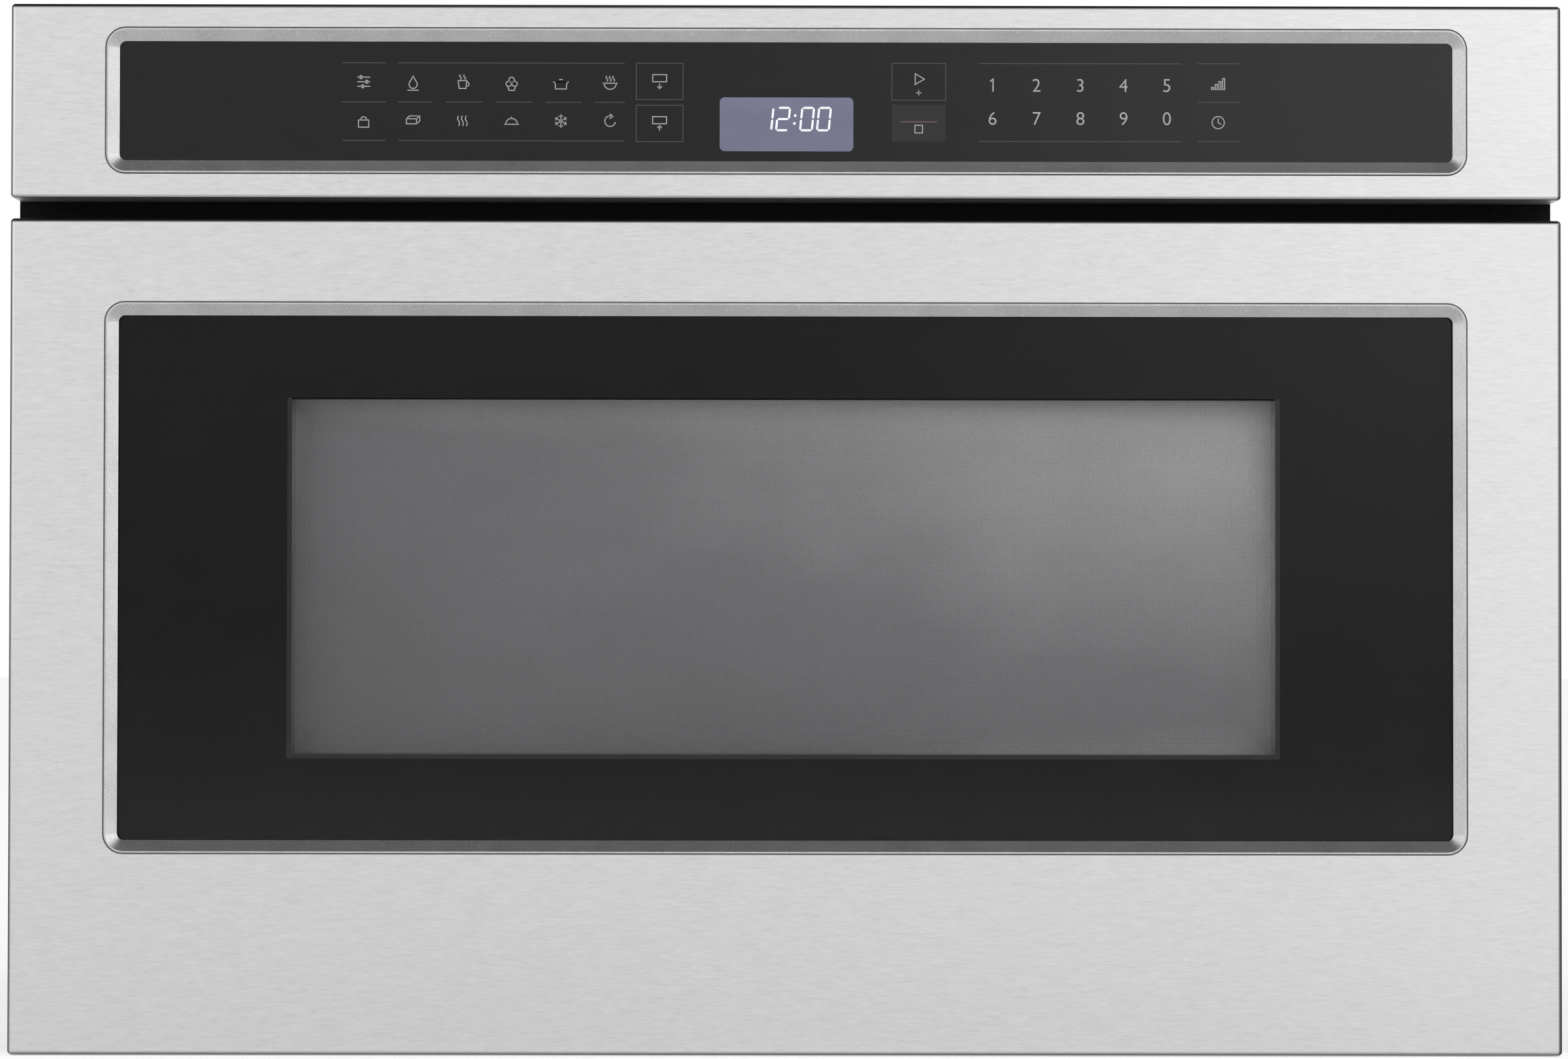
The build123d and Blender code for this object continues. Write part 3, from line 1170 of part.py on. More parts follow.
def latch_hooks():
    """Two hooks that pass the front frame and hold the interlock switches down."""
    neck = LATCH_HIGH - LATCH_NECK
    profile = make_face(
        Polyline(
            (DOOR_BACK, LATCH_LOW),
            (LATCH_REACH - LATCH_BEVEL, LATCH_LOW),
            (LATCH_REACH, LATCH_LOW + LATCH_BEVEL),
            (LATCH_REACH - LATCH_BEVEL, LATCH_HIGH),
            (LATCH_REACH - LATCH_TIP, LATCH_HIGH),
            (LATCH_REACH - LATCH_TIP - LATCH_NECK, neck),
            (DOOR_BACK, neck),
            (DOOR_BACK, LATCH_LOW),
        )
    )
    hook = sideways(profile, LATCH_X - LATCH_WIDTH / 2, LATCH_X + LATCH_WIDTH / 2)
    return both_sides(hook)


def door_bumpers():
    """Rubber buttons on the tray's side lips, just clear of the front frame."""
    disc = Circle(BUMPER_RADIUS)
    back = FRAME_FRONT - BUMPER_CLEARANCE
    return Compound(
        children=[facing(Pos(x, z) * disc, DOOR_PLATE_FRONT, back) for x, z in bumper_places()]
    )


# ---- Slides and rails ----
def slide_profile(parts):
    """A channel's section: boxes given as inward distance from its back, and height."""
    face = Sketch()
    for near, far, low, high in parts:
        middle = (SLIDE_BACK - (near + far) / 2, SLIDE_MIDDLE_Z + (low + high) / 2)
        face += Pos(*middle) * Rectangle(far - near, high - low)
    return face


def running_beads(x, half_height, radius):
    """Half-round beads on a member's top and bottom, which run in the channel round it."""
    beads = Sketch()
    for side in (-1, 1):
        z = SLIDE_MIDDLE_Z + side * half_height
        half = Pos(x, z + side * radius / 2) * Rectangle(2 * radius, radius)
        beads += Pos(x, z) * Circle(radius) & half
    return beads


def slide_outer_right():
    """The fixed channel, whose lips turn in towards the middle member."""
    half = SLIDE_HEIGHT / 2
    wall = half - SLIDE_SHEET
    lip = SLIDE_THICKNESS - SLIDE_SHEET
    section = slide_profile(
        [
            (0, SLIDE_SHEET, -half, half),
            (0, SLIDE_THICKNESS, wall, half),
            (0, SLIDE_THICKNESS, -half, -wall),
            (lip, SLIDE_THICKNESS, wall - SLIDE_LIP, wall),
            (lip, SLIDE_THICKNESS, -wall, -wall + SLIDE_LIP),
        ]
    )
    return facing(section, SLIDE_START, SLIDE_END)


def slide_middle_right():
    """The middle channel, with a round running bead along its top and bottom."""
    half = MIDDLE_MEMBER_HEIGHT / 2
    wall = half - SLIDE_SHEET
    back = MIDDLE_MEMBER_START
    tip = SLIDE_THICKNESS - SLIDE_SHEET - SLIDE_CLEARANCE
    section = slide_profile(
        [
            (back, back + SLIDE_SHEET, -half, half),
            (back, tip, wall, half),
            (back, tip, -half, -wall),
        ]
    )
    bead = SLIDE_HEIGHT / 2 - SLIDE_SHEET - SLIDE_CLEARANCE - half
    section += running_beads(SLIDE_BACK - (back + tip) / 2, half, bead)
    return facing(section, SLIDE_START, SLIDE_END)


def slide_inner_right():
    """The drawer's channel, which runs inside the middle one on its own beads."""
    half = INNER_MEMBER_HEIGHT / 2
    wall = half - SLIDE_SHEET
    tip = INNER_MEMBER_START
    section = slide_profile(
        [
            (SLIDE_THICKNESS - SLIDE_SHEET, SLIDE_THICKNESS, -half, half),
            (tip, SLIDE_THICKNESS, wall, half),
            (tip, SLIDE_THICKNESS, -half, -wall),
        ]
    )
    bead = MIDDLE_MEMBER_HEIGHT / 2 - SLIDE_SHEET - SLIDE_CLEARANCE - half
    section += running_beads(SLIDE_FACE + bead, half, bead)
    return facing(section, SLIDE_START, SLIDE_END)


def rail_bracket_right():
    """The folded bracket that carries a slide on the base plate."""
    wall = block(
        (SLIDE_BACK, SLIDE_BACK + RAIL_SHEET),
        (SLIDE_START + COLLAR_DEPTH, SLIDE_END),
        (BASE_TOP, SLIDE_MIDDLE_Z + SLIDE_HEIGHT / 2),
    )
    foot = block(
        (SLIDE_BACK - RAIL_FOOT, SLIDE_BACK),
        (SLIDE_START + COLLAR_DEPTH, SLIDE_END),
        (BASE_TOP, BASE_TOP + RAIL_SHEET),
    )
    bracket = wall + foot
    window = Rectangle(RAIL_WINDOW_LENGTH, RAIL_WINDOW_HEIGHT)
    for share in RAIL_WINDOW_SHARES:
        place = Pos(SLIDE_START + SLIDE_LENGTH * share, RAIL_WINDOW_Z)
        bracket -= sideways(place * window, SLIDE_BACK, SLIDE_BACK + RAIL_SHEET)
    return bracket


def rail_arm_right():
    """The drawer's rail: a strip along the slide and a foot on the door frame."""
    half = RAIL_ARM_HEIGHT / 2
    strip = block(
        (ARM_FACE, SLIDE_FACE),
        (DOOR_BACK, SLIDE_END),
        (SLIDE_MIDDLE_Z - half, SLIDE_MIDDLE_Z + half),
    )
    foot = block(
        (SLIDE_FACE, SLIDE_BACK - SLIDE_SHEET - SLOT_CLEARANCE),
        (DOOR_BACK, DOOR_BACK + RAIL_SHEET),
        (SLIDE_MIDDLE_Z - half, SLIDE_MIDDLE_Z + half),
    )
    return strip + foot


# ---- Rack and pinion ----
def tooth_count():
    """Teeth that keep the rack in mesh over the whole travel."""
    return int((TRAVEL + 2 * RACK_SPARE) / TOOTH_PITCH) + 1


def drive_rack():
    """A straight rack whose flanks lean by the pressure angle, with a foot on the door frame."""
    lean = math.tan(math.radians(PRESSURE_ANGLE))
    half_tooth = TOOTH_PITCH / 4 - BACKLASH / 4
    root_x = RACK_X - DEDENDUM
    tip_x = RACK_X + MODULE
    root_half = half_tooth + DEDENDUM * lean
    tip_half = half_tooth - MODULE * lean
    first = PINION_Y - TOOTH_PITCH * int(RACK_SPARE / TOOTH_PITCH)
    end = first + TOOTH_PITCH * (tooth_count() - 0.5)
    points = [(RACK_REAR, DOOR_BACK), (root_x, DOOR_BACK)]
    for n in range(tooth_count()):
        y = first + n * TOOTH_PITCH
        points += [(root_x, y - root_half), (tip_x, y - tip_half)]
        points += [(tip_x, y + tip_half), (root_x, y + root_half)]
    points += [(root_x, end), (RACK_REAR, end)]
    rack = standing(make_face(Polyline(*points, close=True)), RACK_LOW, RACK_HIGH)
    foot = block((root_x, tip_x), (DOOR_BACK, DOOR_BACK + RACK_PLATE), (RACK_LOW, RACK_HIGH))
    return rack + foot


def involute(radius, base):
    """The turn from a tooth flank's start to a given radius, in radians."""
    reach = math.sqrt(max((radius / base) ** 2 - 1.0, 0.0))
    return reach - math.atan(reach)


def pinion_outline():
    """The gear's outline: root arcs, involute flanks and round tips, tooth by tooth."""
    base = PITCH_RADIUS * math.cos(math.radians(PRESSURE_ANGLE))
    root = PITCH_RADIUS - DEDENDUM
    tip = PITCH_RADIUS + MODULE
    half_tooth = math.pi / (2 * PINION_TEETH) - BACKLASH / (4 * PITCH_RADIUS)
    start = half_tooth + involute(PITCH_RADIUS, base)
    mid_radius = (base + tip) / 2

    def at(radius, angle):
        return (radius * math.cos(angle), radius * math.sin(angle))

    edges = []
    step = 2 * math.pi / PINION_TEETH
    for n in range(PINION_TEETH):
        middle = math.pi + step * (n + 0.5)
        low = middle - start
        high = middle + start
        mid_turn = involute(mid_radius, base)
        tip_turn = involute(tip, base)
        edges.append(Line(at(root, low), at(base, low)))
        edges.append(
            ThreePointArc(at(base, low), at(mid_radius, low + mid_turn), at(tip, low + tip_turn))
        )
        edges.append(Line(at(tip, low + tip_turn), at(tip, high - tip_turn)))
        edges.append(
            ThreePointArc(at(tip, high - tip_turn), at(mid_radius, high - mid_turn), at(base, high))
        )
        edges.append(Line(at(base, high), at(root, high)))
        edges.append(Line(at(root, high), at(root, low + step)))
    return make_face(edges)


def drive_pinion():
    """The involute pinion on its shaft, which stands in the gear motor."""
    place = Pos(PINION_X, PINION_Y)
    hub = place * Circle(PITCH_RADIUS / 2)
    hub_low = BRACKET_TOP + SLIDE_CLEARANCE
    gear = standing(place * pinion_outline(), RACK_LOW, RACK_HIGH)
    gear += standing(hub, RACK_HIGH, RACK_HIGH + HUB_HEIGHT)
    gear += standing(hub, hub_low, RACK_LOW)
    gear += standing(place * Circle(SHAFT_RADIUS), BRACKET_LOW - SHAFT_DEPTH, hub_low)
    return gear


def motor_bracket():
    """The bridge over the gear motor, with a leg at each end on the base plate."""
    left = RACK_REAR - BRACKET_SPARE
    right = PINION_X + BRACKET_SIDE
    depth = (PINION_Y - BRACKET_FRONT, PINION_Y + BRACKET_REAR)
    bridge = block((left, right), depth, (BRACKET_LOW, BRACKET_TOP))
    bridge += block((left, left + BRACKET_SHEET), depth, (BASE_TOP, BRACKET_LOW))
    bridge += block((right - BRACKET_SHEET, right), depth, (BASE_TOP, BRACKET_LOW))
    bore = Pos(PINION_X, PINION_Y) * Circle(SHAFT_RADIUS + RUNNING_CLEARANCE)
    return bridge - standing(bore, BRACKET_LOW, BRACKET_TOP)


def drive_motor():
    """The gear motor: worm box under the bridge and the motor can behind it."""
    back = PINION_Y + GEARBOX_REAR
    box = block(
        (PINION_X - GEARBOX_HALF, PINION_X + GEARBOX_HALF),
        (PINION_Y - GEARBOX_FRONT, back),
        (BRACKET_LOW - GEARBOX_HEIGHT, BRACKET_LOW),
    )
    box = fillet(box.edges().filter_by(Axis.Z), GEARBOX_CORNER)
    can = Circle(GEARBOX_HEIGHT / 2 - CAN_STEP)
    box += facing(
        Pos(PINION_X + MOTOR_OFFSET, BRACKET_LOW - GEARBOX_HEIGHT / 2) * can,
        back,
        back + MOTOR_LENGTH,
    )
    bore = Pos(PINION_X, PINION_Y) * Circle(SHAFT_RADIUS + RUNNING_CLEARANCE)
    return box - standing(bore, BRACKET_LOW - SHAFT_BORE, BRACKET_LOW)


def rack_guide():
    """The plastic shoe that bears the rack from below and behind, against the pinion."""
    depth = (PINION_Y - GUIDE_SHOE_LENGTH / 2, PINION_Y + GUIDE_SHOE_LENGTH / 2)
    face_x = RACK_REAR - SLIDE_CLEARANCE
    shoe = block((RACK_REAR - GUIDE_SHOE, face_x), depth, (BRACKET_TOP, RACK_HIGH))
    shelf_top = RACK_LOW - SLIDE_CLEARANCE
    shelf = block((face_x, RACK_X - DEDENDUM), depth, (BRACKET_TOP, shelf_top))
    return shoe + shelf


# ---- Interlock ----
def switch_bracket():
    """The folded strip behind the front frame that holds the interlock switches."""
    low = CAVITY_TOP + CAVITY_SHEET
    width = (-LATCH_X - SWITCH_SPARE, LATCH_X + SWITCH_SPARE)
    front = INNER_SETBACK
    foot = block(width, (front, front + SWITCH_FOOT), (low, low + SWITCH_SHEET))
    wall = block(width, (front, front + SWITCH_SHEET), (low + SWITCH_SHEET, SWITCH_SHELF_LOW))
    shelf_z = (SWITCH_SHELF_LOW, SWITCH_SHELF_LOW + SWITCH_SHEET)
    return foot + wall + block(width, (front, front + SWITCH_SHELF), shelf_z)


def interlock_switches():
    """Microswitches under the hooks, each with its sprung lever held down."""
    low = SWITCH_SHELF_LOW + SWITCH_SHEET
    top = low + SWITCH_HEIGHT
    back = SWITCH_FRONT + SWITCH_LENGTH
    half = SWITCH_WIDTH / 2
    body = block((LATCH_X - half, LATCH_X + half), (SWITCH_FRONT, back), (low, top))
    lever = block(
        (LATCH_X - LEVER_WIDTH / 2, LATCH_X + LEVER_WIDTH / 2),
        (LEVER_FRONT, LEVER_FRONT + LEVER_LENGTH),
        (top, LATCH_LOW - LEVER_GAP),
    )
    terminal_low = low + TERMINAL_LIFT
    terminal = block(
        (LATCH_X - TERMINAL_WIDTH / 2, LATCH_X + TERMINAL_WIDTH / 2),
        (back, back + TERMINAL_LENGTH),
        (terminal_low, terminal_low + TERMINAL_SHEET),
    )
    return both_sides(body + lever + terminal)


PIECES = {
    "base_plate": base_plate,
    "casing_top": casing_top,
    "casing_side_left": lambda: mirrored(casing_side_right()),
    "casing_side_right": casing_side_right,
    "rear_panel": rear_panel,
    "casing_screws": casing_screws,
    "cord_gland": cord_gland,
    "front_frame": front_frame,
    "frame_screws": frame_screws,
    "control_panel_frame": control_panel_frame,
    "control_bezel": lambda: bezel(CONTROL_BEZEL_HEIGHT, CONTROL_MIDDLE),
    "control_glass": control_glass,
    "control_box": control_box,
    "control_board": control_board,
    "display_module": display_module,
    "cavity_wrap": cavity_wrap,
    "cavity_ceiling": cavity_ceiling,
    "cavity_rear_wall": cavity_rear_wall,
    "oven_lamp": oven_lamp,
    "humidity_sensor": humidity_sensor,
    "waveguide": waveguide,
    "magnetron_yoke": magnetron_yoke,
    "magnetron_fins": magnetron_fins,
    "magnetron_filter_box": magnetron_filter_box,
    "transformer_core": transformer_core,
    "transformer_windings": transformer_windings,
    "hv_capacitor": hv_capacitor,
    "fan_shroud": fan_shroud,
    "fan_motor": fan_motor,
    "fan_wheel": fan_wheel,
    "antenna_motor": antenna_motor,
    "stirrer_antenna": stirrer_antenna,
    "drawer_front_skin": drawer_front_skin,
    "door_bezel": lambda: bezel(DOOR_BEZEL_HEIGHT, DOOR_MIDDLE),
    "door_glass": door_glass,
    "door_frame": door_frame,
    "window_screen": window_screen,
    "inner_window": inner_window,
    "choke_cover": choke_cover,
    "door_bumpers": door_bumpers,
    "latch_hooks": latch_hooks,
    "bin_shell": bin_shell,
    "ceramic_floor": ceramic_floor,
    "slide_outer_left": lambda: mirrored(slide_outer_right()),
    "slide_outer_right": slide_outer_right,
    "slide_middle_left": lambda: mirrored(slide_middle_right()),
    "slide_middle_right": slide_middle_right,
    "slide_inner_left": lambda: mirrored(slide_inner_right()),
    "slide_inner_right": slide_inner_right,
    "rail_bracket_left": lambda: mirrored(rail_bracket_right()),
    "rail_bracket_right": rail_bracket_right,
    "rail_arm_left": lambda: mirrored(rail_arm_right()),
    "rail_arm_right": rail_arm_right,
    "drive_rack": drive_rack,
    "drive_pinion": drive_pinion,
    "drive_motor": drive_motor,
    "motor_bracket": motor_bracket,
    "rack_guide": rack_guide,
    "switch_bracket": switch_bracket,
    "interlock_switches": interlock_switches,
}

os.makedirs("parts", exist_ok=True)
for name, make in PIECES.items():
    export_step(make(), f"parts/{name}.step")
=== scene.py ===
import math

import bmesh
import bpy
from mathutils import Matrix, Vector

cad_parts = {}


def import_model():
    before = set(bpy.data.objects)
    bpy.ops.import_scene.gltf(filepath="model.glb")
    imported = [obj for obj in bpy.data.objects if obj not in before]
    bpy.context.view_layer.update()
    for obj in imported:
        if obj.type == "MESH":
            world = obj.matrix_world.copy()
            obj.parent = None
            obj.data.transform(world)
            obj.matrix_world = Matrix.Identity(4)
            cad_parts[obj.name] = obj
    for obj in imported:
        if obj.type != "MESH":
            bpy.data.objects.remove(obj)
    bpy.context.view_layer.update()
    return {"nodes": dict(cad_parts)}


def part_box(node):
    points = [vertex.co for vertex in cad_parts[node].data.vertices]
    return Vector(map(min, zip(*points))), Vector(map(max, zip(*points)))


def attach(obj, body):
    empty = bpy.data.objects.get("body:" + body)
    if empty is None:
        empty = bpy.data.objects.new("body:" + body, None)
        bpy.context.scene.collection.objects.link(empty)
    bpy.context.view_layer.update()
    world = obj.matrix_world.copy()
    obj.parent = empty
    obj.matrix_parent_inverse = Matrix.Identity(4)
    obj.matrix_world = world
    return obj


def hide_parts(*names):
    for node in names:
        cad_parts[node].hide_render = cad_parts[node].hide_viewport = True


MM = 0.001

# Camera and light, in metres and degrees
CAMERA_PLACE = (-0.024, -3.0, 0.166)
CAMERA_YAW = -0.447
CAMERA_PITCH = 1.74
CAMERA_ROLL = -0.08
CAMERA_LENS = 174.3
CAMERA_SENSOR = 36.0
CAMERA_SHIFT = -0.1
LIT_LEVEL = 0.62
SEEN_LEVEL = 1.0

# What polished faces mirror: levels, and the ranges of the mirrored direction they change over
CEILING_LEVEL = 0.02
REAR_CEILING_LEVEL = 0.5
CEILING_DEPTH = (-0.35, 0.25)
CEILING_RISE = (0.25, 0.9)
RIGHT_WALL_LEVEL = 1.3
RIGHT_WALL_TURN = (0.3, 0.8)
PATCH_LEVEL = 0.42
PATCH_HIGH = 0.14
PATCH_RIGHT = 0.10
PATCH_CORNER = 0.34
PATCH_ACROSS = (-0.01, 0.10)
PATCH_UP = (-0.04, 0.07)
PATCH_AHEAD = (-0.96, -0.985)

# Floor and board, in millimetres, and how far the floor is lifted towards white
FLOOR_GLOSS_LIFT = 0.06
FLOOR_EYE_LIFT = 0.41
FLOOR_DROP = 10.4
FLOOR_REACH = 15000.0
BOARD_TOP = -0.2
BOARD_SIZE = (272.0, 6.0, 584.0)  # half its width, its front and its back

# Control panel, in millimetres: x to the right of the middle, z up from the shelf
GLASS_Y = -33.0
GLASS_BACK = -30.0
PRINT_THICKNESS = 0.05
PRINT_LIFT = 0.004
PRINT_RANGE = (GLASS_Y - PRINT_THICKNESS, GLASS_Y - PRINT_LIFT)
BAR_THICKNESS = 0.03
DISPLAY_THICKNESS = 0.06
DISPLAY_RANGE = (GLASS_Y - DISPLAY_THICKNESS, GLASS_Y - PRINT_LIFT)
DIGIT_RANGE = (GLASS_Y - 2 * DISPLAY_THICKNESS, GLASS_Y - DISPLAY_THICKNESS)
VIEW_MIDDLE = (1165.25, 151.25)  # the spot of the front view that the panel's middle lies at
VIEW_SCALE = (3.779, 3.796)  # spots of the front view to a millimetre
LINE_WIDTH = 0.32
STROKE = 0.36
MITRE_LIMIT = 0.5
WAVE_SWING = 0.38
PANEL_MIDDLE = 362.25
DISPLAY_WIDTH = 52.3
DISPLAY_HEIGHT = 21.1
DISPLAY_Z = 353.4
DISPLAY_CORNER = 1.9
DIGIT_HEIGHT = 8.8
DIGIT_WIDTH = 4.6
DIGIT_STROKE = 0.82
DIGIT_INSET = 0.14  # the gap before each bar, as a share of its stroke
DIGIT_SLANT = 0.1
CLOCK_Z = 351.1
CLOCK_DIGITS = (("1", -10.6), ("2", -4.1), ("0", 5.3), ("0", 11.9))
COLON_X = 2.8
COLON_SHARES = (0.304, 0.656)
COLON_DOT = (1.0, 1.0, 0.3)  # width, height and corner radius
PAD_DIGITS = 5.05
PAD_THINNING = 0.06
FONT_SHARE = 0.7  # a digit's height as a share of the plain font's size
FIGURE_ONE = ((-0.95, 1.5), (0.2, 2.35), (0.2, -2.52))
FIGURE_STROKE = 0.52

# Door glass, in millimetres
WINDOW_WIDTH = 388.3
WINDOW_HEIGHT = 141.05
WINDOW_X = -0.85
WINDOW_Z = 175.675
WINDOW_CORNER = 0.3
WINDOW_BORDER = 1.8
PRINT_DEPTH = 0.12
GLASS_CORNER = 2.6

# Painted-shade seam beside the bezels, in millimetres
BEZEL_FLANGE = 5.0
BEZEL_RADIUS = 7.5
BEZEL_GAP = 0.6
SEAM_SPARE = 0.02
SEAM_FRONT = -35.7
SEAM_BACK = -35.0
GLASS_GAP = 0.05

# Lamps: place, size and power
LAMP_TARGET = (0.0, 0.0, 0.2)
KEY_LAMP = ((2.0, -3.0, 1.9), (2.8, 2.8), 30.0)
FILL_LAMP = ((-2.4, -2.8, 1.5), (2.4, 2.4), 16.0)

# Finishes
WHITE = (1.0, 1.0, 1.0, 1.0)
STEEL_DARK = (0.76, 0.76, 0.76)
STEEL_LIGHT = (0.93, 0.93, 0.93)
# Painted shade on the folded edges of the stainless sheets
PAINTED_FOLD_SHADE_COLOUR = (0.015, 0.015, 0.015)
FOLD_LEFT = 1.15  # how fast the painted shade darkens the left and the lower folds
FOLD_LOW = 0.75
FOLD_BEND = (0.05, 0.2)
# Screen tones: random clouds, a painted highlight and painted rim light all ramp through low, middle and
# high
SCREEN_LOW = (0.158, 0.156, 0.165)
SCREEN_MIDDLE = (0.235, 0.232, 0.244)
SCREEN_HIGH = (0.54, 0.536, 0.552)
SCREEN_HOLE = (0.035, 0.035, 0.035)
SCREEN_HOLE_SHARE = 0.2
SCREEN_PAINTED_HIGHLIGHT_SLANT = (2.56, 7.0)  # how fast the painted highlight pales the tone to the right and upwards, per metre
SCREEN_CLOUD = 0.9
SCREEN_TURN = 1.69  # the slant where the middle tone lies
# painted light: how much the screen is paled near the window's rim, and over what width
RIM_PAINTED_LIGHT = 0.6
RIM_WIDTH = 0.02  # in metres
DISPLAY_DARK = (0.178, 0.182, 0.268)
DISPLAY_LIGHT = (0.212, 0.216, 0.312)


# ---------------------------------------------------------------- node materials


class Nodes:
    """A node tree in the making."""

    def __init__(self, tree):
        self.tree = tree

    def join(self, output, socket):
        self.tree.links.new(output, socket)

    def node(self, kind, sockets=None, **settings):
        """Adds a node. Sockets take a value or the output of another node."""
        made = self.tree.nodes.new(kind)
        for name, value in settings.items():
            setattr(made, name, value)
        for socket, value in (sockets or {}).items():
            if isinstance(value, bpy.types.NodeSocket):
                self.join(value, made.inputs[socket])
            else:
                made.inputs[socket].default_value = value
        return made

    def math(self, operation, first, second=0.0):
        return self.node("ShaderNodeMath", {0: first, 1: second}, operation=operation).outputs[0]

    def plus(self, first, second):
        return self.math("ADD", first, second)

    def minus(self, first, second):
        return self.math("SUBTRACT", first, second)

    def times(self, first, second):
        return self.math("MULTIPLY", first, second)

    def weighted(self, first, *others):
        """The sum of some patterns, each given with its share."""
        total = self.times(*first)
        for other in others:
            total = self.plus(total, self.times(*other))
        return total

    def spread(self, value, low, high, start=0.0, end=1.0, **settings):
        """Maps a pattern's range start to end on low to high."""
        sockets = {"Value": value, "From Min": start, "From Max": end, "To Min": low, "To Max": high}
        return self.node("ShaderNodeMapRange", sockets, **settings).outputs["Result"]

    def smooth(self, value, low, high, start, end):
        """Like spread, with soft ends."""
        return self.spread(value, low, high, start, end, interpolation_type="SMOOTHSTEP")

    def parts(self, vector):
        """A vector's parts across, along and up."""
        return self.node("ShaderNodeSeparateXYZ", {"Vector": vector}).outputs


class Finish(Nodes):
    """A node material in the making: its principled shader and the patterns that feed it."""

    def __init__(self, name, **values):
        self.material = bpy.data.materials.new(name)
        self.material.use_nodes = True
        super().__init__(self.material.node_tree)
        self.shader = self.tree.nodes["Principled BSDF"]
        self.output = self.tree.nodes["Material Output"]
        self.place = self.node("ShaderNodeTexCoord").outputs["Object"]
        for socket, value in values.items():
            self.shader.inputs[socket.replace("_", " ")].default_value = value

    def feed(self, socket, output):
        self.join(output, self.shader.inputs[socket])

    def scaled(self, scale):
        """The object's own coordinates, in cells per metre along each axis."""
        mapping = self.node("ShaderNodeMapping", {"Vector": self.place, "Scale": scale})
        return mapping.outputs["Vector"]

    def noise(self, scale, detail=2.0, roughness=0.5):
        sockets = {"Vector": self.scaled(scale), "Scale": 1.0, "Detail": detail, "Roughness": roughness}
        return self.node("ShaderNodeTexNoise", sockets).outputs["Fac"]

    def cells(self, per_metre, channel):
        """A random number for each cell of a Voronoi pattern."""
        sockets = {"Vector": self.scaled((per_metre, per_metre, per_metre)), "Scale": 1.0}
        colour = self.node("ShaderNodeTexVoronoi", sockets).outputs["Color"]
        return self.node("ShaderNodeSeparateColor", {"Color": colour}).outputs[channel]

    def colours(self, factor, first, second):
        """Blends two colours by a pattern."""
        made = self.node("ShaderNodeMix", {"Factor": factor}, data_type="RGBA")
        for socket, colour in ((6, first), (7, second)):
            if isinstance(colour, bpy.types.NodeSocket):
                self.join(colour, made.inputs[socket])
            else:
                made.inputs[socket].default_value = (*colour, 1.0)
        return made.outputs[2]

    def tone(self, pattern, dark, light, start=0.3, end=0.7):
        """Blends two colours over the middle of a noise's range."""
        return self.colours(self.spread(pattern, 0.0, 1.0, start, end), dark, light)

    def bump(self, height, depth, strength=1.0):
        """Relief of the surface, depth in metres for a pattern from 0 to 1."""
        sockets = {"Height": height, "Distance": depth, "Strength": strength}
        self.feed("Normal", self.node("ShaderNodeBump", sockets).outputs["Normal"])


def brushed(name, dark, light, roughness, grain, relief):
    """Metal with a directional grain. grain is cells per metre along x, y and z."""
    finish = Finish(name, Metallic=1.0)
    fine = finish.noise(grain, 3.0, 0.65)
    wide = finish.noise((4.0, 4.0, 7.0))
    finish.feed("Base Color", finish.tone(finish.weighted((fine, 0.7), (wide, 0.3)), dark, light))
    finish.feed("Roughness", finish.spread(fine, roughness - 0.05, roughness + 0.05, 0.3, 0.7))
    finish.bump(fine, relief)
    return finish.material


def painted_fold_shade(finish):
    """How bright a bent edge stays under its painted shade: dark round the right and top folds, softer
    round the others, standing for the dimmer surroundings those folds mirror.
    """
    normal = finish.node("ShaderNodeNewGeometry").outputs["Normal"]
    across, along, up = finish.parts(normal)
    hard = finish.math("MAXIMUM", finish.math("MAXIMUM", across, up), 0.0)
    flat = finish.minus(1.0, hard)
    shade = finish.times(finish.times(flat, flat), finish.spread(hard, 1.0, 0.5, 0.0, 0.15))
    left, low = finish.times(across, -FOLD_LEFT), finish.times(up, -FOLD_LOW)
    soft = finish.math("MAXIMUM", finish.math("MAXIMUM", left, low), 0.0)
    shade = finish.math("MAXIMUM", finish.times(shade, finish.minus(1.0, soft)), 0.0)
    bent = finish.spread(finish.math("ABSOLUTE", along), 0.0, 1.0, *FOLD_BEND)
    return finish.minus(1.0, finish.times(bent, finish.minus(1.0, shade)))


def stainless():
    """Fine horizontal brushing in short strokes, with painted shade darkening the folded edges."""
    finish = Finish("stainless_brushed_shaded_folds", Metallic=1.0)
    strokes = finish.noise((260.0, 1400.0, 3000.0), 2.0, 0.6)
    bands = finish.noise((70.0, 500.0, 900.0), 2.0, 0.6)
    cloud = finish.noise((3.0, 3.0, 5.0))
    grain = finish.weighted((strokes, 0.7), (bands, 0.3))
    plain = finish.tone(finish.weighted((grain, 0.8), (cloud, 0.2)), STEEL_DARK, STEEL_LIGHT, 0.26, 0.74)
    # painted shade: the folded edges are blended towards a near-black colour by which way they face
    finish.feed("Base Color", finish.colours(painted_fold_shade(finish), PAINTED_FOLD_SHADE_COLOUR, plain))
    finish.feed("Roughness", finish.spread(grain, 0.27, 0.35, 0.3, 0.7))
    finish.bump(grain, 0.000005)
    return finish.material


def silver_paint():
    """Silver paint with fine flakes that catch the light one by one."""
    finish = Finish("bezel_silver_paint", Metallic=0.93, Roughness=0.28)
    flakes = finish.cells(2600.0, "Red")
    wide = finish.noise((60.0, 60.0, 60.0), 3.0)
    base = finish.tone(wide, (0.6, 0.6, 0.605), (0.7, 0.7, 0.705))
    bright = finish.spread(flakes, 0.0, 0.6, 0.75, 1.0)
    finish.feed("Base Color", finish.colours(bright, base, (0.92, 0.92, 0.93)))
    finish.bump(flakes, 0.00003, 0.5)
    return finish.material


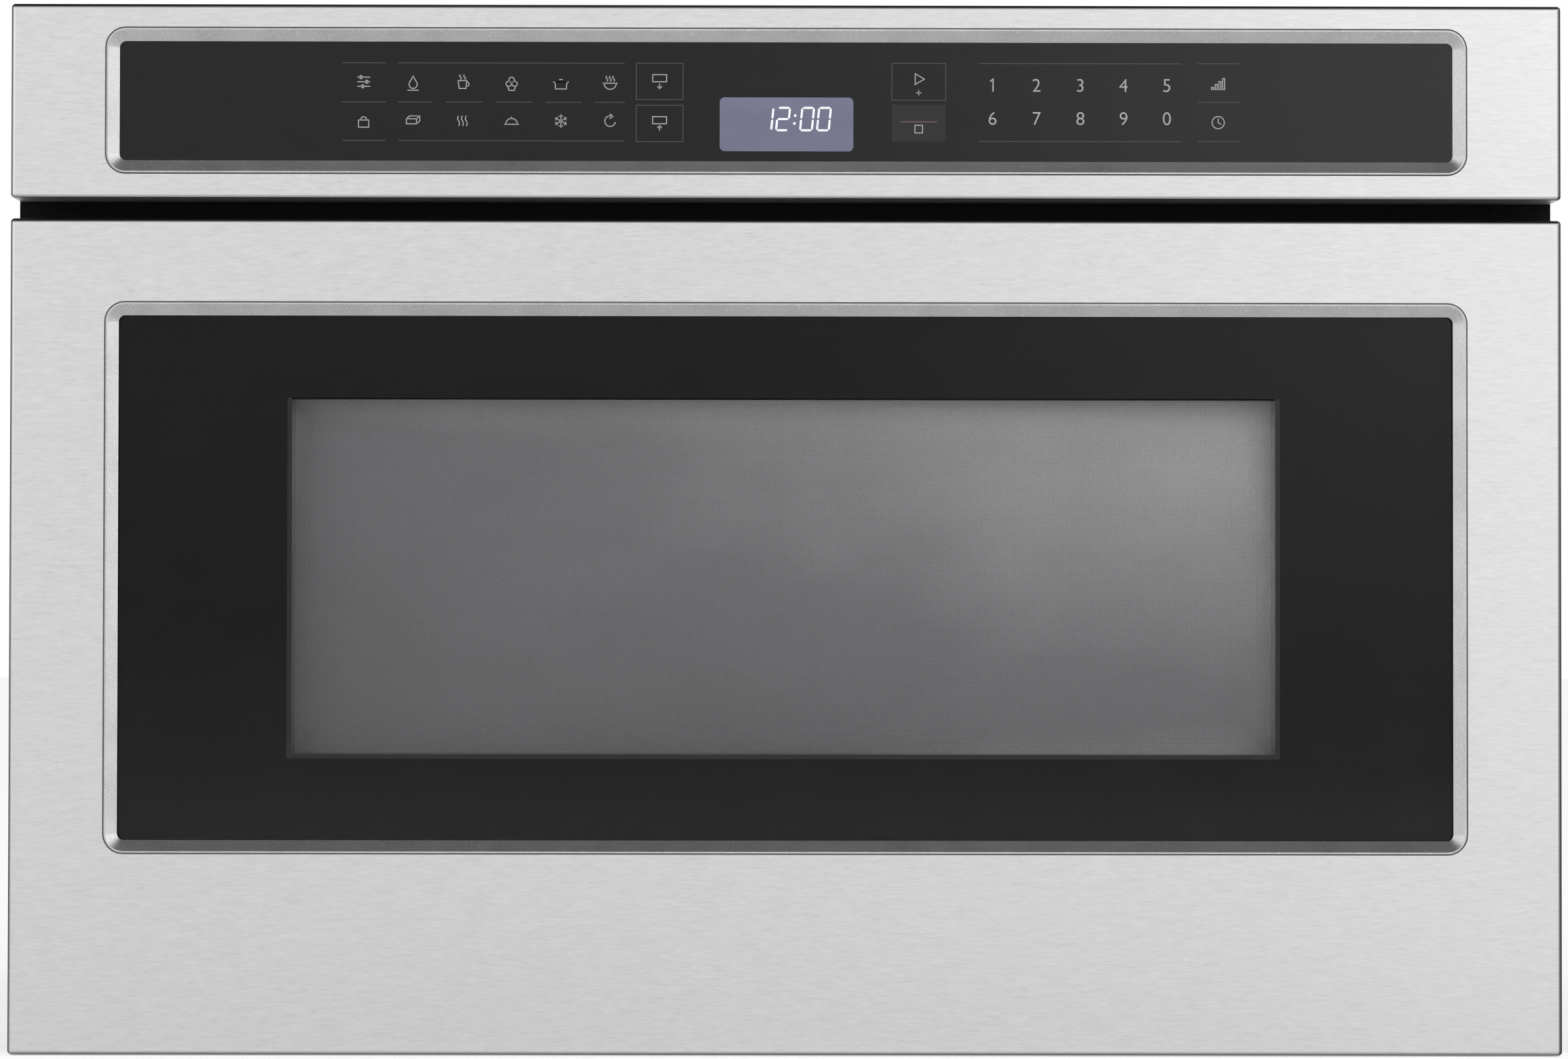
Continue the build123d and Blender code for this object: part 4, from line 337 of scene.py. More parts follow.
def backed_glass(name, dark, light, specular):
    """Glass with a print behind it, nearly mirror smooth, with faint wiping marks."""
    finish = Finish(name, Specular_IOR_Level=specular)
    marks = finish.noise((40.0, 40.0, 90.0), 4.0, 0.6)
    finish.feed("Base Color", finish.colours(marks, dark, light))
    finish.feed("Roughness", finish.spread(marks, 0.03, 0.1, 0.35, 0.75))
    return finish.material


def paint(name, dark, light, roughness, peel=0.00002, scale=900.0, **values):
    """Sprayed paint: a slight orange peel and an uneven tone."""
    finish = Finish(name, **values)
    texture = finish.noise((scale, scale, scale))
    wide = finish.noise((14.0, 14.0, 14.0), 3.0)
    finish.feed("Base Color", finish.tone(wide, dark, light))
    finish.feed("Roughness", finish.spread(texture, roughness - 0.06, roughness + 0.06, 0.3, 0.7))
    finish.bump(texture, peel)
    return finish.material


def galvanised():
    """Zinc-coated sheet: crystals of slightly different grey, some finer than others."""
    finish = Finish("galvanised_spangle", Metallic=0.6)
    coarse = finish.cells(110.0, "Green")
    fine = finish.cells(310.0, "Green")
    haze = finish.noise((12.0, 12.0, 12.0), 4.0, 0.6)
    spangle = finish.weighted((coarse, 0.4), (fine, 0.25), (haze, 0.35))
    finish.feed("Base Color", finish.colours(spangle, (0.43, 0.44, 0.455), (0.60, 0.61, 0.62)))
    finish.feed("Roughness", finish.spread(coarse, 0.4, 0.5))
    finish.bump(haze, 0.00003)
    return finish.material


def window_depth(finish):
    """How far inside the window's opening a spot lies, in metres."""
    across, _, up = finish.parts(finish.place)
    side = finish.math("ABSOLUTE", finish.minus(across, WINDOW_X * MM))
    end = finish.math("ABSOLUTE", finish.minus(up, WINDOW_Z * MM))
    side = finish.minus(WINDOW_WIDTH * MM / 2, side)
    end = finish.minus(WINDOW_HEIGHT * MM / 2, end)
    return finish.math("MINIMUM", side, end)


def perforated():
    """Grey sheet with a fine grid of holes and soft clouds of tone, with a painted highlight that pales it
    to the upper right, and painted light that pales it near the window's rim against the shade of the well.
    Its coat stands for the shine of the pane close before it."""
    finish = Finish(
        "screen_perforated", Roughness=0.55, Coat_Weight=1.0, Coat_Roughness=0.04, Specular_IOR_Level=0.3
    )
    sockets = {"Vector": finish.scaled((1000.0, 0.0, 1000.0)), "Scale": 1.0, "Randomness": 0.25}
    holes = finish.node("ShaderNodeTexVoronoi", sockets).outputs["Distance"]
    cloud = finish.noise((7.0, 0.0, 12.0), 3.0)
    across, _, up = finish.parts(finish.place)
    # painted highlight: the tone pales to the right and upwards by place, over random clouds
    slant = finish.weighted((across, SCREEN_PAINTED_HIGHLIGHT_SLANT[0]), (up, SCREEN_PAINTED_HIGHLIGHT_SLANT[1]), (cloud, SCREEN_CLOUD))
    rim = finish.spread(window_depth(finish), 1.0, 0.0, 0.0, RIM_WIDTH)
    # painted light: the tone is paled near the window's rim, against the shade that the well casts there
    slant = finish.plus(slant, finish.times(finish.times(rim, rim), RIM_PAINTED_LIGHT))
    lower = finish.tone(slant, SCREEN_LOW, SCREEN_MIDDLE, SCREEN_TURN - 1.0, SCREEN_TURN)
    sheet = finish.tone(slant, lower, SCREEN_HIGH, SCREEN_TURN, SCREEN_TURN + 1.0)
    dark = finish.times(finish.spread(holes, 1.0, 0.0, 0.22, 0.36), SCREEN_HOLE_SHARE)
    finish.feed("Base Color", finish.colours(dark, sheet, SCREEN_HOLE))
    finish.bump(finish.spread(holes, 0.0, 1.0, 0.22, 0.4), 0.0001)
    return finish.material


def circuit():
    """Solder mask over square-cornered tracks and pads."""
    finish = Finish("board_circuit", Roughness=0.38)
    sockets = {"Vector": finish.scaled((260.0, 260.0, 260.0)), "Scale": 1.0, "Randomness": 0.7}
    tracks = finish.node("ShaderNodeTexVoronoi", sockets, distance="CHEBYCHEV").outputs["Distance"]
    edge = finish.spread(tracks, 0.0, 1.0, 0.36, 0.4)
    pads = finish.spread(tracks, 1.0, 0.0, 0.1, 0.13)
    mask = finish.colours(edge, (0.02, 0.14, 0.06), (0.05, 0.27, 0.12))
    finish.feed("Base Color", finish.colours(pads, mask, (0.62, 0.62, 0.58)))
    finish.bump(edge, 0.00005)
    return finish.material


def striped(name, dark, light, axis, per_metre, **values):
    """Close parallel lines across one axis, as of laminations or wound wire."""
    finish = Finish(name, **values)
    scale = [0.0, 0.0, 0.0]
    scale["XYZ".index(axis)] = per_metre
    sockets = {"Vector": finish.scaled(scale), "Scale": 1.0, "Distortion": 0.0}
    waves = finish.node("ShaderNodeTexWave", sockets, wave_type="BANDS", bands_direction=axis)
    lines = waves.outputs["Fac"]
    wear = finish.noise((80.0, 80.0, 80.0), 3.0)
    finish.feed("Base Color", finish.colours(finish.weighted((lines, 0.7), (wear, 0.3)), dark, light))
    finish.bump(lines, 0.00012)
    return finish.material


def lit_window():
    """The lit display behind its clear window: violet grey, a little uneven."""
    finish = Finish("display_lit", Roughness=0.12, Specular_IOR_Level=0.3, Emission_Strength=0.1)
    tone = finish.tone(finish.noise((35.0, 35.0, 60.0)), DISPLAY_DARK, DISPLAY_LIGHT)
    finish.feed("Base Color", tone)
    finish.feed("Emission Color", tone)
    return finish.material


def ink(name, colour, glow=0.0, roughness=0.5):
    """Screen-printed ink: flat colour with a slightly uneven film."""
    finish = Finish(name)
    film = finish.noise((700.0, 700.0, 700.0))
    shade = tuple(part * 0.86 for part in colour)
    tone = finish.tone(film, shade, colour)
    finish.feed("Base Color", tone)
    finish.feed("Roughness", finish.spread(film, roughness - 0.08, roughness + 0.08))
    if glow:
        finish.shader.inputs["Emission Strength"].default_value = glow
        finish.feed("Emission Color", tone)
    return finish.material


def see_through(name, clear, gloss):
    """Flat clear pane: what is behind shows with a slight tint, and the face mirrors a little.
    gloss is its index of refraction. With 1 the pane doesn't mirror, for a pane whose shine is
    given to what lies close behind it."""
    finish = Finish(name)
    finish.tree.nodes.remove(finish.shader)
    marks = finish.noise((25.0, 25.0, 60.0), 3.0)
    clearness = finish.colours(marks, clear, tuple(part * 0.97 for part in clear))
    through = finish.node("ShaderNodeBsdfTransparent", {"Color": clearness}).outputs[0]
    shine = finish.node("ShaderNodeBsdfGlossy", {"Roughness": finish.spread(marks, 0.01, 0.05)}).outputs[0]
    mirror = finish.node("ShaderNodeFresnel", {"IOR": gloss}).outputs[0]
    both = finish.node("ShaderNodeMixShader", {0: mirror, 1: through, 2: shine}).outputs[0]
    finish.join(both, finish.output.inputs["Surface"])
    return finish.material


def all_finishes():
    """One finish for each material slot of the record."""
    return {
        "stainless": stainless(),
        "bezel_silver": silver_paint(),
        "black_glass": backed_glass("black_glass", (0.004, 0.004, 0.0045), (0.007, 0.007, 0.008), 0.5),
        "door_glass": see_through("door_pane", (0.95, 0.95, 0.95), 1.0),
        "clear_glass": see_through("inner_pane", (0.92, 0.94, 0.93), 1.4),
        # partly painted shade: real black paint, crushed darker and less shiny than satin paint to stand
        # for the deep shade in the gap under the control panel
        "black_paint": paint(
            "black_satin_and_painted_shade", (0.002, 0.002, 0.002), (0.005, 0.005, 0.005), 0.5, Specular_IOR_Level=0.08
        ),
        "galvanised": galvanised(),
        "grey_enamel": paint("grey_enamel", (0.36, 0.37, 0.38), (0.46, 0.47, 0.48), 0.3, 0.00001, 500.0),
        "screen_grey": perforated(),
        "white_ceramic": paint("ceramic", (0.80, 0.80, 0.78), (0.87, 0.87, 0.85), 0.22, 0.000008, 300.0),
        "black_plastic": paint("black_moulded", (0.018, 0.018, 0.018), (0.035, 0.035, 0.035), 0.5, 0.00005),
        "white_plastic": paint("white_moulded", (0.74, 0.74, 0.71), (0.84, 0.84, 0.81), 0.45, 0.00004),
        "board_green": circuit(),
        "display": lit_window(),
        "zinc_steel": brushed(
            "zinc_plated", (0.58, 0.57, 0.52), (0.80, 0.79, 0.76), 0.3, (300.0, 40.0, 300.0), 0.000006
        ),
        "aluminium": brushed(
            "aluminium_mill", (0.66, 0.67, 0.68), (0.83, 0.84, 0.85), 0.32, (500.0, 500.0, 40.0), 0.000008
        ),
        "dark_steel": striped(
            "laminated_steel",
            (0.035, 0.035, 0.037),
            (0.14, 0.14, 0.15),
            "Y",
            400.0,
            Metallic=0.6,
            Roughness=0.45,
        ),
        "copper": striped(
            "wound_copper",
            (0.30, 0.11, 0.045),
            (0.76, 0.38, 0.19),
            "Z",
            360.0,
            Metallic=1.0,
            Roughness=0.28,
        ),
        "black_rubber": paint("rubber", (0.016, 0.016, 0.016), (0.03, 0.03, 0.03), 0.72, 0.00004, 1200.0),
    }


# ---------------------------------------------------------------- shapes


def link(name, mesh, material, body=None):
    """Puts a mesh in the scene with its finish, and on its body."""
    made = bpy.data.objects.new(name, mesh)
    bpy.context.scene.collection.objects.link(made)
    mesh.materials.append(material)
    if body:
        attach(made, body)
    return made


def rounded(width, height, radius, centre=(0.0, 0.0), steps=6):
    """Corner points of a rounded rectangle, in millimetres, all one way round."""
    points = []
    corners = ((1, 1, 0), (-1, 1, 90), (-1, -1, 180), (1, -1, 270))
    for side, up, start in corners:
        middle_x = centre[0] + side * (width / 2 - radius)
        middle_z = centre[1] + up * (height / 2 - radius)
        for step in range(steps + 1):
            angle = math.radians(start + 90.0 * step / steps)
            points.append((middle_x + radius * math.cos(angle), middle_z + radius * math.sin(angle)))
    return points


def add_plate(shape, loops, front, back):
    """Adds a flat plate between two depths. The first loop is its rim, the others are openings."""
    edges = []
    for loop in loops:
        corners = [shape.verts.new((x * MM, front * MM, z * MM)) for x, z in loop]
        for index, corner in enumerate(corners):
            edges.append(shape.edges.new((corner, corners[(index + 1) % len(corners)])))
    filled = bmesh.ops.triangle_fill(shape, edges=edges, use_beauty=True, use_dissolve=False)
    faces = [part for part in filled["geom"] if isinstance(part, bmesh.types.BMFace)]
    grown = bmesh.ops.extrude_face_region(shape, geom=faces, use_keep_orig=True)
    moved = [part for part in grown["geom"] if isinstance(part, bmesh.types.BMVert)]
    bmesh.ops.translate(shape, verts=moved, vec=(0.0, (back - front) * MM, 0.0))


def finished(shape, name):
    """Turns a bmesh into a mesh with its faces outward."""
    bmesh.ops.recalc_face_normals(shape, faces=shape.faces)
    mesh = bpy.data.meshes.new(name)
    shape.to_mesh(mesh)
    shape.free()
    return mesh


def add_stroke(shape, points, width=STROKE, closed=False):
    """Adds a printed line of even width through the points, with mitred corners."""
    count = len(points)
    left, right = [], []
    for index, (x, z) in enumerate(points):
        before = points[index - 1] if index or closed else None
        after = points[(index + 1) % count] if index < count - 1 or closed else None
        ways = []
        if before is not None:
            ways.append(Vector((x - before[0], z - before[1])).normalized())
        if after is not None:
            ways.append(Vector((after[0] - x, after[1] - z)).normalized())
        way = (ways[0] + ways[-1]).normalized() if (ways[0] + ways[-1]).length > 1e-6 else ways[0]
        across = Vector((-way.y, way.x))
        lean = max(abs(across.dot(Vector((-ways[0].y, ways[0].x)))), MITRE_LIMIT)
        half = width / 2 / lean
        left.append((x + across.x * half, z + across.y * half))
        right.append((x - across.x * half, z - across.y * half))
    last = count if closed else count - 1
    for index in range(last):
        after = (index + 1) % count
        add_plate(shape, [[left[index], left[after], right[after], right[index]]], *PRINT_RANGE)


def arc(centre, radius, start, end, steps=14):
    """Points on an arc, angles in degrees."""
    points = []
    for step in range(steps + 1):
        angle = math.radians(start + (end - start) * step / steps)
        points.append((centre[0] + radius * math.cos(angle), centre[1] + radius * math.sin(angle)))
    return points


def panel(pixel_x, pixel_z):
    """Place on the control glass, in millimetres, of a spot of the front view."""
    x = (pixel_x - VIEW_MIDDLE[0]) / VIEW_SCALE[0]
    return x, PANEL_MIDDLE - (pixel_z - VIEW_MIDDLE[1]) / VIEW_SCALE[1]


def shifted(points, place):
    """The points about another place."""
    return [(place[0] + x, place[1] + z) for x, z in points]


def waves(middles, low=-1.2, high=1.2):
    """Upright wavy lines, as of rising heat."""
    lines = []
    for middle in middles:
        points = []
        for step in range(9):
            share = step / 8
            swing = WAVE_SWING * math.sin(share * 2 * math.pi)
            points.append((middle + swing, low + (high - low) * share))
        lines.append(points)
    return lines


def snowflake():
    """Three crossing lines with twigs at their ends."""
    lines = []
    for turn in range(3):
        angle = math.radians(30 + 60 * turn)
        way = Vector((math.cos(angle), math.sin(angle)))
        lines.append([tuple(-2.6 * way), tuple(2.6 * way)])
        for end in (-1, 1):
            for side in (-1, 1):
                twig = Matrix.Rotation(math.radians(side * 50), 2) @ way
                foot = way * 1.5 * end
                lines.append([tuple(foot), tuple(foot + twig * end * 0.9)])
    return lines


def signs():
    """Plain pictograms for the keys: (place in the front view, open lines, closed outlines), the
    lines and outlines in millimetres about the place."""
    upper, lower = 124.0, 180.5
    cup = [(-1.7, 0.9), (-1.3, -2.2), (1.3, -2.2), (1.7, 0.9)]
    pot = [(-2.3, 0.4), (-2.1, -2.3), (2.1, -2.3), (2.3, 0.4)]
    bowl = arc((0.0, 0.0), 2.4, 180, 360)
    cloche = arc((0.0, -1.3), 2.3, 0, 180)
    body = [(-2.0, -2.4), (2.0, -2.4), (2.0, 0.4), (-2.0, 0.4)]
    kernel = []
    for middle in ((-1.15, -0.3), (1.15, -0.3), (0.0, 1.25)):
        kernel.append(arc(middle, 1.05, 0, 345))
    drop = [(0.0, 2.6)] + arc((0.0, -0.6), 1.6, 35, -215)
    butter = [(-2.6, -1.2), (1.4, -1.2), (1.4, 0.8), (-2.6, 0.8)]
    butter_top = [(-2.6, 0.8), (-1.4, 1.9), (2.6, 1.9), (1.4, 0.8)]
    butter_end = [(1.4, -1.2), (2.6, -0.1), (2.6, 1.9)]
    drawer = [(-2.7, -0.2), (2.7, -0.2), (2.7, 2.6), (-2.7, 2.6)]
    sliders = [[(-2.5, z), (2.5, z)] for z in (1.8, 0.0, -1.8)]
    knobs = [arc((x, z), 0.6, 0, 345, 10) for x, z in ((-1.1, 1.8), (1.2, 0.0), (-0.4, -1.8))]
    steps = []
    for index in range(4):
        left = -2.6 + index * 1.45
        high = -1.6 + index * 1.15
        steps.append([(left, -2.4), (left + 0.8, -2.4), (left + 0.8, high), (left, high)])
    clock = arc((0.0, 0.0), 2.4, 0, 350, 26)
    return [
        ((540.0, 122.5), sliders, knobs),
        ((540.0, 181.0), [arc((0.0, 0.4), 1.25, 0, 180) + [(-1.25, 0.4)]], [body]),
        ((613.0, upper), [[(-2.2, -2.9), (2.2, -2.9)]], [drop]),
        ((686.0, upper), waves((-0.8, 0.8), 1.4, 3.2) + [arc((1.7, -0.5), 0.85, 80, -80)], [cup]),
        ((758.6, upper), [[(-1.5, -1.5), (-1.0, -2.9), (1.0, -2.9), (1.5, -1.5)]], kernel),
        ((831.6, upper), [[(-3.1, 0.4), (3.1, 0.4)], [(-0.7, 1.4), (0.7, 1.4)]], [pot]),
        ((904.4, upper), waves((-1.3, 0.0, 1.3), 0.7, 2.8) + [[(-2.9, 0.0), (2.9, 0.0)], bowl], []),
        ((613.0, lower), [butter_top, butter_end], [butter]),
        ((686.0, lower), waves((-1.5, 0.0, 1.5), -2.0, 2.0), []),
        ((758.6, lower), [[(-2.9, -1.3), (2.9, -1.3)], cloche, [(0.0, 1.0), (0.0, 1.7)]], []),
        ((831.6, lower), snowflake(), []),
        ((904.4, lower), [arc((0.0, 0.0), 2.1, 60, 350), [(-0.1, 2.9), (1.1, 1.85), (-0.2, 1.0)]], []),
        ((977.5, 121.0), [[(0.0, -0.9), (0.0, -2.9)], [(-0.9, -2.0), (0.0, -2.9), (0.9, -2.0)]], [drawer]),
        ((977.5, 183.5), [[(0.0, -2.9), (0.0, -0.9)], [(-0.9, -1.8), (0.0, -0.9), (0.9, -1.8)]], [drawer]),
        ((1360.8, 117.0), [], [[(-1.4, 2.1), (-1.4, -2.1), (2.2, 0.0)]]),
        ((1360.8, 137.5), [[(-1.0, 0.0), (1.0, 0.0)], [(0.0, -1.0), (0.0, 1.0)]], []),
        ((1360.8, 191.5), [], [[(-1.5, 1.5), (1.5, 1.5), (1.5, -1.5), (-1.5, -1.5)]]),
        ((1804.0, 122.5), [], steps),
        ((1804.0, 181.0), [[(0.0, 1.6), (0.0, 0.0), (1.2, -0.7)]], [clock]),
    ]


def print_signs(material):
    """All the pictograms, as one piece."""
    shape = bmesh.new()
    for place, lines, outlines in signs():
        middle = panel(*place)
        for line in lines:
            add_stroke(shape, shifted(line, middle))
        for outline in outlines:
            add_stroke(shape, shifted(outline, middle), closed=True)
    link("key_signs", finished(shape, "key_signs"), material, "housing")


def print_lines(material):
    """Thin rules between the groups of keys, and the frames of the boxed keys."""
    rules = [(508, 573, z) for z in (94.3, 152.5, 210.0)]
    rules += [(591, 926, z) for z in (94.3, 210.0)]
    spans = ((591, 641), (662, 716), (735, 788), (809, 862), (882, 926))
    rules += [(left, right, 152.5) for left, right in spans]
    rules += [(1450, 1749.5, z) for z in (93.7, 209.5)]
    rules += [(1773.5, 1835.3, z) for z in (93.3, 150.7, 209.0)]
    boxes = ((943, 1012, 94.3, 148.2), (943, 1012, 156.8, 210.7), (1321, 1400.6, 93.7, 148.4))
    shape = bmesh.new()
    for left, right, z in rules:
        add_stroke(shape, [panel(left, z), panel(right, z)], LINE_WIDTH)
    for left, right, top, bottom in boxes:
        corners = [panel(left, top), panel(right, top), panel(right, bottom), panel(left, bottom)]
        add_stroke(shape, corners, LINE_WIDTH, closed=True)
    link("key_rules", finished(shape, "key_rules"), material, "housing")


def print_bar(name, left, right, top, bottom, material, lift=0.0):
    """A filled printed rectangle."""
    shape = bmesh.new()
    low_x, high_z = panel(left, top)
    high_x, low_z = panel(right, bottom)
    outline = [(low_x, low_z), (high_x, low_z), (high_x, high_z), (low_x, high_z)]
    add_plate(shape, [outline], GLASS_Y - BAR_THICKNESS - lift, PRINT_RANGE[1])
    link(name, finished(shape, name), material, "housing")


def digit_mesh(digit, place):
    """A digit of the plain font as a thin plate on the glass, about a place in millimetres."""
    curve = bpy.data.curves.new(f"digit_{digit}", "FONT")
    curve.body = digit
    curve.align_x = curve.align_y = "CENTER"
    curve.size = PAD_DIGITS * MM / FONT_SHARE
    curve.offset = -PAD_THINNING * MM
    curve.extrude = PRINT_THICKNESS * MM / 2
    drawn = bpy.data.objects.new(f"digit_{digit}", curve)
    bpy.context.scene.collection.objects.link(drawn)
    bpy.context.view_layer.update()
    mesh = bpy.data.meshes.new_from_object(drawn.evaluated_get(bpy.context.evaluated_depsgraph_get()))
    bpy.data.objects.remove(drawn)
    heights = [vertex.co.y for vertex in mesh.vertices]
    size = PAD_DIGITS * MM / (max(heights) - min(heights))
    centred = Matrix.Translation((0.0, -(max(heights) + min(heights)) / 2, 0.0))
    upright = Matrix.Rotation(math.radians(90), 4, "X") @ Matrix.Diagonal((size, size, 1.0, 1.0))
    depth = GLASS_Y - PRINT_THICKNESS / 2 - PRINT_LIFT
    mesh.transform(Matrix.Translation((place[0] * MM, depth * MM, place[1] * MM)) @ upright @ centred)
    return mesh


def print_digits(material):
    """The plain numbers of the keypad."""
    rows = ((126.0, "12345"), (175.4, "67890"))
    columns = (1470.0, 1535.0, 1600.0, 1664.0, 1728.0)
    shape = bmesh.new()
    for row, digits in rows:
        for column, digit in zip(columns, digits):
            place = panel(column, row)
            if digit == "1":
                add_stroke(shape, shifted(FIGURE_ONE, place), FIGURE_STROKE)
            else:
                mesh = digit_mesh(digit, place)
                shape.from_mesh(mesh)
                bpy.data.meshes.remove(mesh)
    link("keypad_numbers", finished(shape, "keypad_numbers"), material, "housing")


def segment_points(name):
    """Outline of one bar of a seven-segment digit, about the digit's lower left corner."""
    half, inset = DIGIT_STROKE / 2, DIGIT_STROKE * DIGIT_INSET
    width, height = DIGIT_WIDTH, DIGIT_HEIGHT
    middle = height / 2
    ends = {
        "a": ((0, height), (width, height)),
        "g": ((0, middle), (width, middle)),
        "d": ((0, 0), (width, 0)),
        "f": ((0, middle), (0, height)),
        "b": ((width, middle), (width, height)),
        "e": ((0, 0), (0, middle)),
        "c": ((width, 0), (width, middle)),
    }
    (x0, z0), (x1, z1) = ends[name]
    way = Vector((x1 - x0, z1 - z0)).normalized()
    across = Vector((-way.y, way.x)) * half
    start = Vector((x0, z0)) + way * inset
    end = Vector((x1, z1)) - way * inset
    points = [start, start + way * half + across, end - way * half + across, end]
    points += [end - way * half - across, start + way * half - across]
    return [(point.x + point.y * DIGIT_SLANT, point.y) for point in points]


def clock_face(material):
    """The time in slanted seven-segment digits, with its colon."""
    bars = {"0": "abcdef", "1": "bc", "2": "abged"}
    shape = bmesh.new()
    for digit, left in CLOCK_DIGITS:
        for bar in bars[digit]:
            outline = [(left + x, CLOCK_Z + z) for x, z in segment_points(bar)]
            add_plate(shape, [outline], *DIGIT_RANGE)
    for share in COLON_SHARES:
        z = DIGIT_HEIGHT * share
        x = COLON_X + z * DIGIT_SLANT
        add_plate(shape, [rounded(*COLON_DOT, (x, CLOCK_Z + z), 3)], *DIGIT_RANGE)
    link("clock_digits", finished(shape, "clock_digits"), material, "housing")


def bezel_seams(material):
    """A grey sheet of painted shade between the stainless sheet and each bezel, in the gap that the sheet
    leaves.
    """
    for name, body in (("control_bezel", "housing"), ("door_bezel", "drawer")):
        low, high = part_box(name)
        width = (high[0] - low[0]) / MM - 2 * BEZEL_FLANGE
        height = (high[2] - low[2]) / MM - 2 * BEZEL_FLANGE
        middle = ((high[0] + low[0]) / 2 / MM, (high[2] + low[2]) / 2 / MM)
        grow = BEZEL_GAP - SEAM_SPARE
        outer = rounded(width + 2 * grow, height + 2 * grow, BEZEL_RADIUS + grow, middle)
        inner = rounded(width + 2 * SEAM_SPARE, height + 2 * SEAM_SPARE, BEZEL_RADIUS + SEAM_SPARE, middle)
        shape = bmesh.new()
        add_plate(shape, [outer, inner], SEAM_FRONT, SEAM_BACK)
        seam = name.replace("bezel", "seam")
        link(seam, finished(shape, seam), material, body)


def lit_display(material):
    """The lit window of the display, flush on the control glass."""
    shape = bmesh.new()
    outline = rounded(DISPLAY_WIDTH, DISPLAY_HEIGHT, DISPLAY_CORNER, (0.0, DISPLAY_Z))
    add_plate(shape, [outline], *DISPLAY_RANGE)
    link("display_window", finished(shape, "display_window"), material, "housing")


def door_pane(material, print_black, print_grey):
    """The door's clear pane, and on its back the black print with the window left open. A dark
    grey border runs along the window's sides and foot."""
    low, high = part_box("door_glass")
    width = (high[0] - low[0]) / MM
    height = (high[2] - low[2]) / MM
    centre = ((high[0] + low[0]) / 2 / MM, (high[2] + low[2]) / 2 / MM)
    outer = rounded(width, height, GLASS_CORNER, centre)
    opening = rounded(WINDOW_WIDTH, WINDOW_HEIGHT, WINDOW_CORNER, (WINDOW_X, WINDOW_Z), 2)
    shape = bmesh.new()
    add_plate(shape, [outer], GLASS_Y, GLASS_BACK - PRINT_DEPTH - GLASS_GAP)
    pane = link("door_pane", finished(shape, "door_pane"), material, "drawer")
    shape = bmesh.new()
    add_plate(shape, [outer, opening], GLASS_BACK - PRINT_DEPTH, GLASS_BACK)
    link("door_glass_print", finished(shape, "door_glass_print"), print_black, "drawer")
    shape = bmesh.new()
    left, right = WINDOW_X - WINDOW_WIDTH / 2, WINDOW_X + WINDOW_WIDTH / 2
    foot, head = WINDOW_Z - WINDOW_HEIGHT / 2, WINDOW_Z + WINDOW_HEIGHT / 2
    inner_foot = foot + WINDOW_BORDER
    outline = [(left, foot), (right, foot), (right, head), (right - WINDOW_BORDER, head)]
    outline += [(right - WINDOW_BORDER, inner_foot), (left + WINDOW_BORDER, inner_foot)]
    outline += [(left + WINDOW_BORDER, head), (left, head)]
    add_plate(shape, [outline], GLASS_BACK - PRINT_DEPTH, GLASS_BACK)
    link("door_glass_border", finished(shape, "door_glass_border"), print_grey, "drawer")
    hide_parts("door_glass")


# ---------------------------------------------------------------- studio


def camera():
    """The camera that sees the front as the photograph does."""
    turn = (
        Matrix.Rotation(math.radians(CAMERA_YAW), 4, "Z")
        @ Matrix.Rotation(math.radians(CAMERA_PITCH), 4, "X")
        @ Matrix.Rotation(math.radians(CAMERA_ROLL), 4, "Y")
        @ Matrix.Rotation(math.radians(90), 4, "X")
    )
    data = bpy.data.cameras.new("camera")
    data.sensor_width = CAMERA_SENSOR
    data.lens = CAMERA_LENS
    data.shift_y = CAMERA_SHIFT
    made = bpy.data.objects.new("camera", data)
    made.matrix_world = Matrix.Translation(CAMERA_PLACE) @ turn
    bpy.context.scene.collection.objects.link(made)
    bpy.context.scene.camera = made


def lamp(name, place, size, power):
    """A soft rectangular lamp aimed at the object."""
    data = bpy.data.lights.new(name, "AREA")
    data.shape = "RECTANGLE"
    data.size, data.size_y = size
    data.energy = power
    made = bpy.data.objects.new(name, data)
    made.location = place
    made.rotation_euler = (Vector(LAMP_TARGET) - Vector(place)).to_track_quat("-Z", "Y").to_euler()
    bpy.context.scene.collection.objects.link(made)


def mirrored_studio(nodes):
    """What polished faces reflect: white walls, a ceiling that is dimmer at the front, and a
    dimmer patch ahead that brightens to the right and upwards."""
    across, along, up = nodes.parts(nodes.node("ShaderNodeTexCoord").outputs["Generated"])
    top = nodes.smooth(along, CEILING_LEVEL, REAR_CEILING_LEVEL, *CEILING_DEPTH)
    raised = nodes.smooth(up, 0.0, 1.0, *CEILING_RISE)
    wall = nodes.smooth(across, 1.0, RIGHT_WALL_LEVEL, *RIGHT_WALL_TURN)
    room = nodes.minus(wall, nodes.times(raised, nodes.minus(wall, top)))
    right = nodes.smooth(across, 0.0, 1.0, *PATCH_ACROSS)
    high = nodes.smooth(up, 0.0, 1.0, *PATCH_UP)
    corner = nodes.times(right, high)
    patch = nodes.weighted((high, PATCH_HIGH), (right, PATCH_RIGHT), (corner, PATCH_CORNER))
    patch = nodes.plus(patch, PATCH_LEVEL)
    ahead = nodes.smooth(along, 0.0, 1.0, *PATCH_AHEAD)
    missing = nodes.times(ahead, nodes.minus(1.0, patch))
    return nodes.times(room, nodes.minus(1.0, missing))


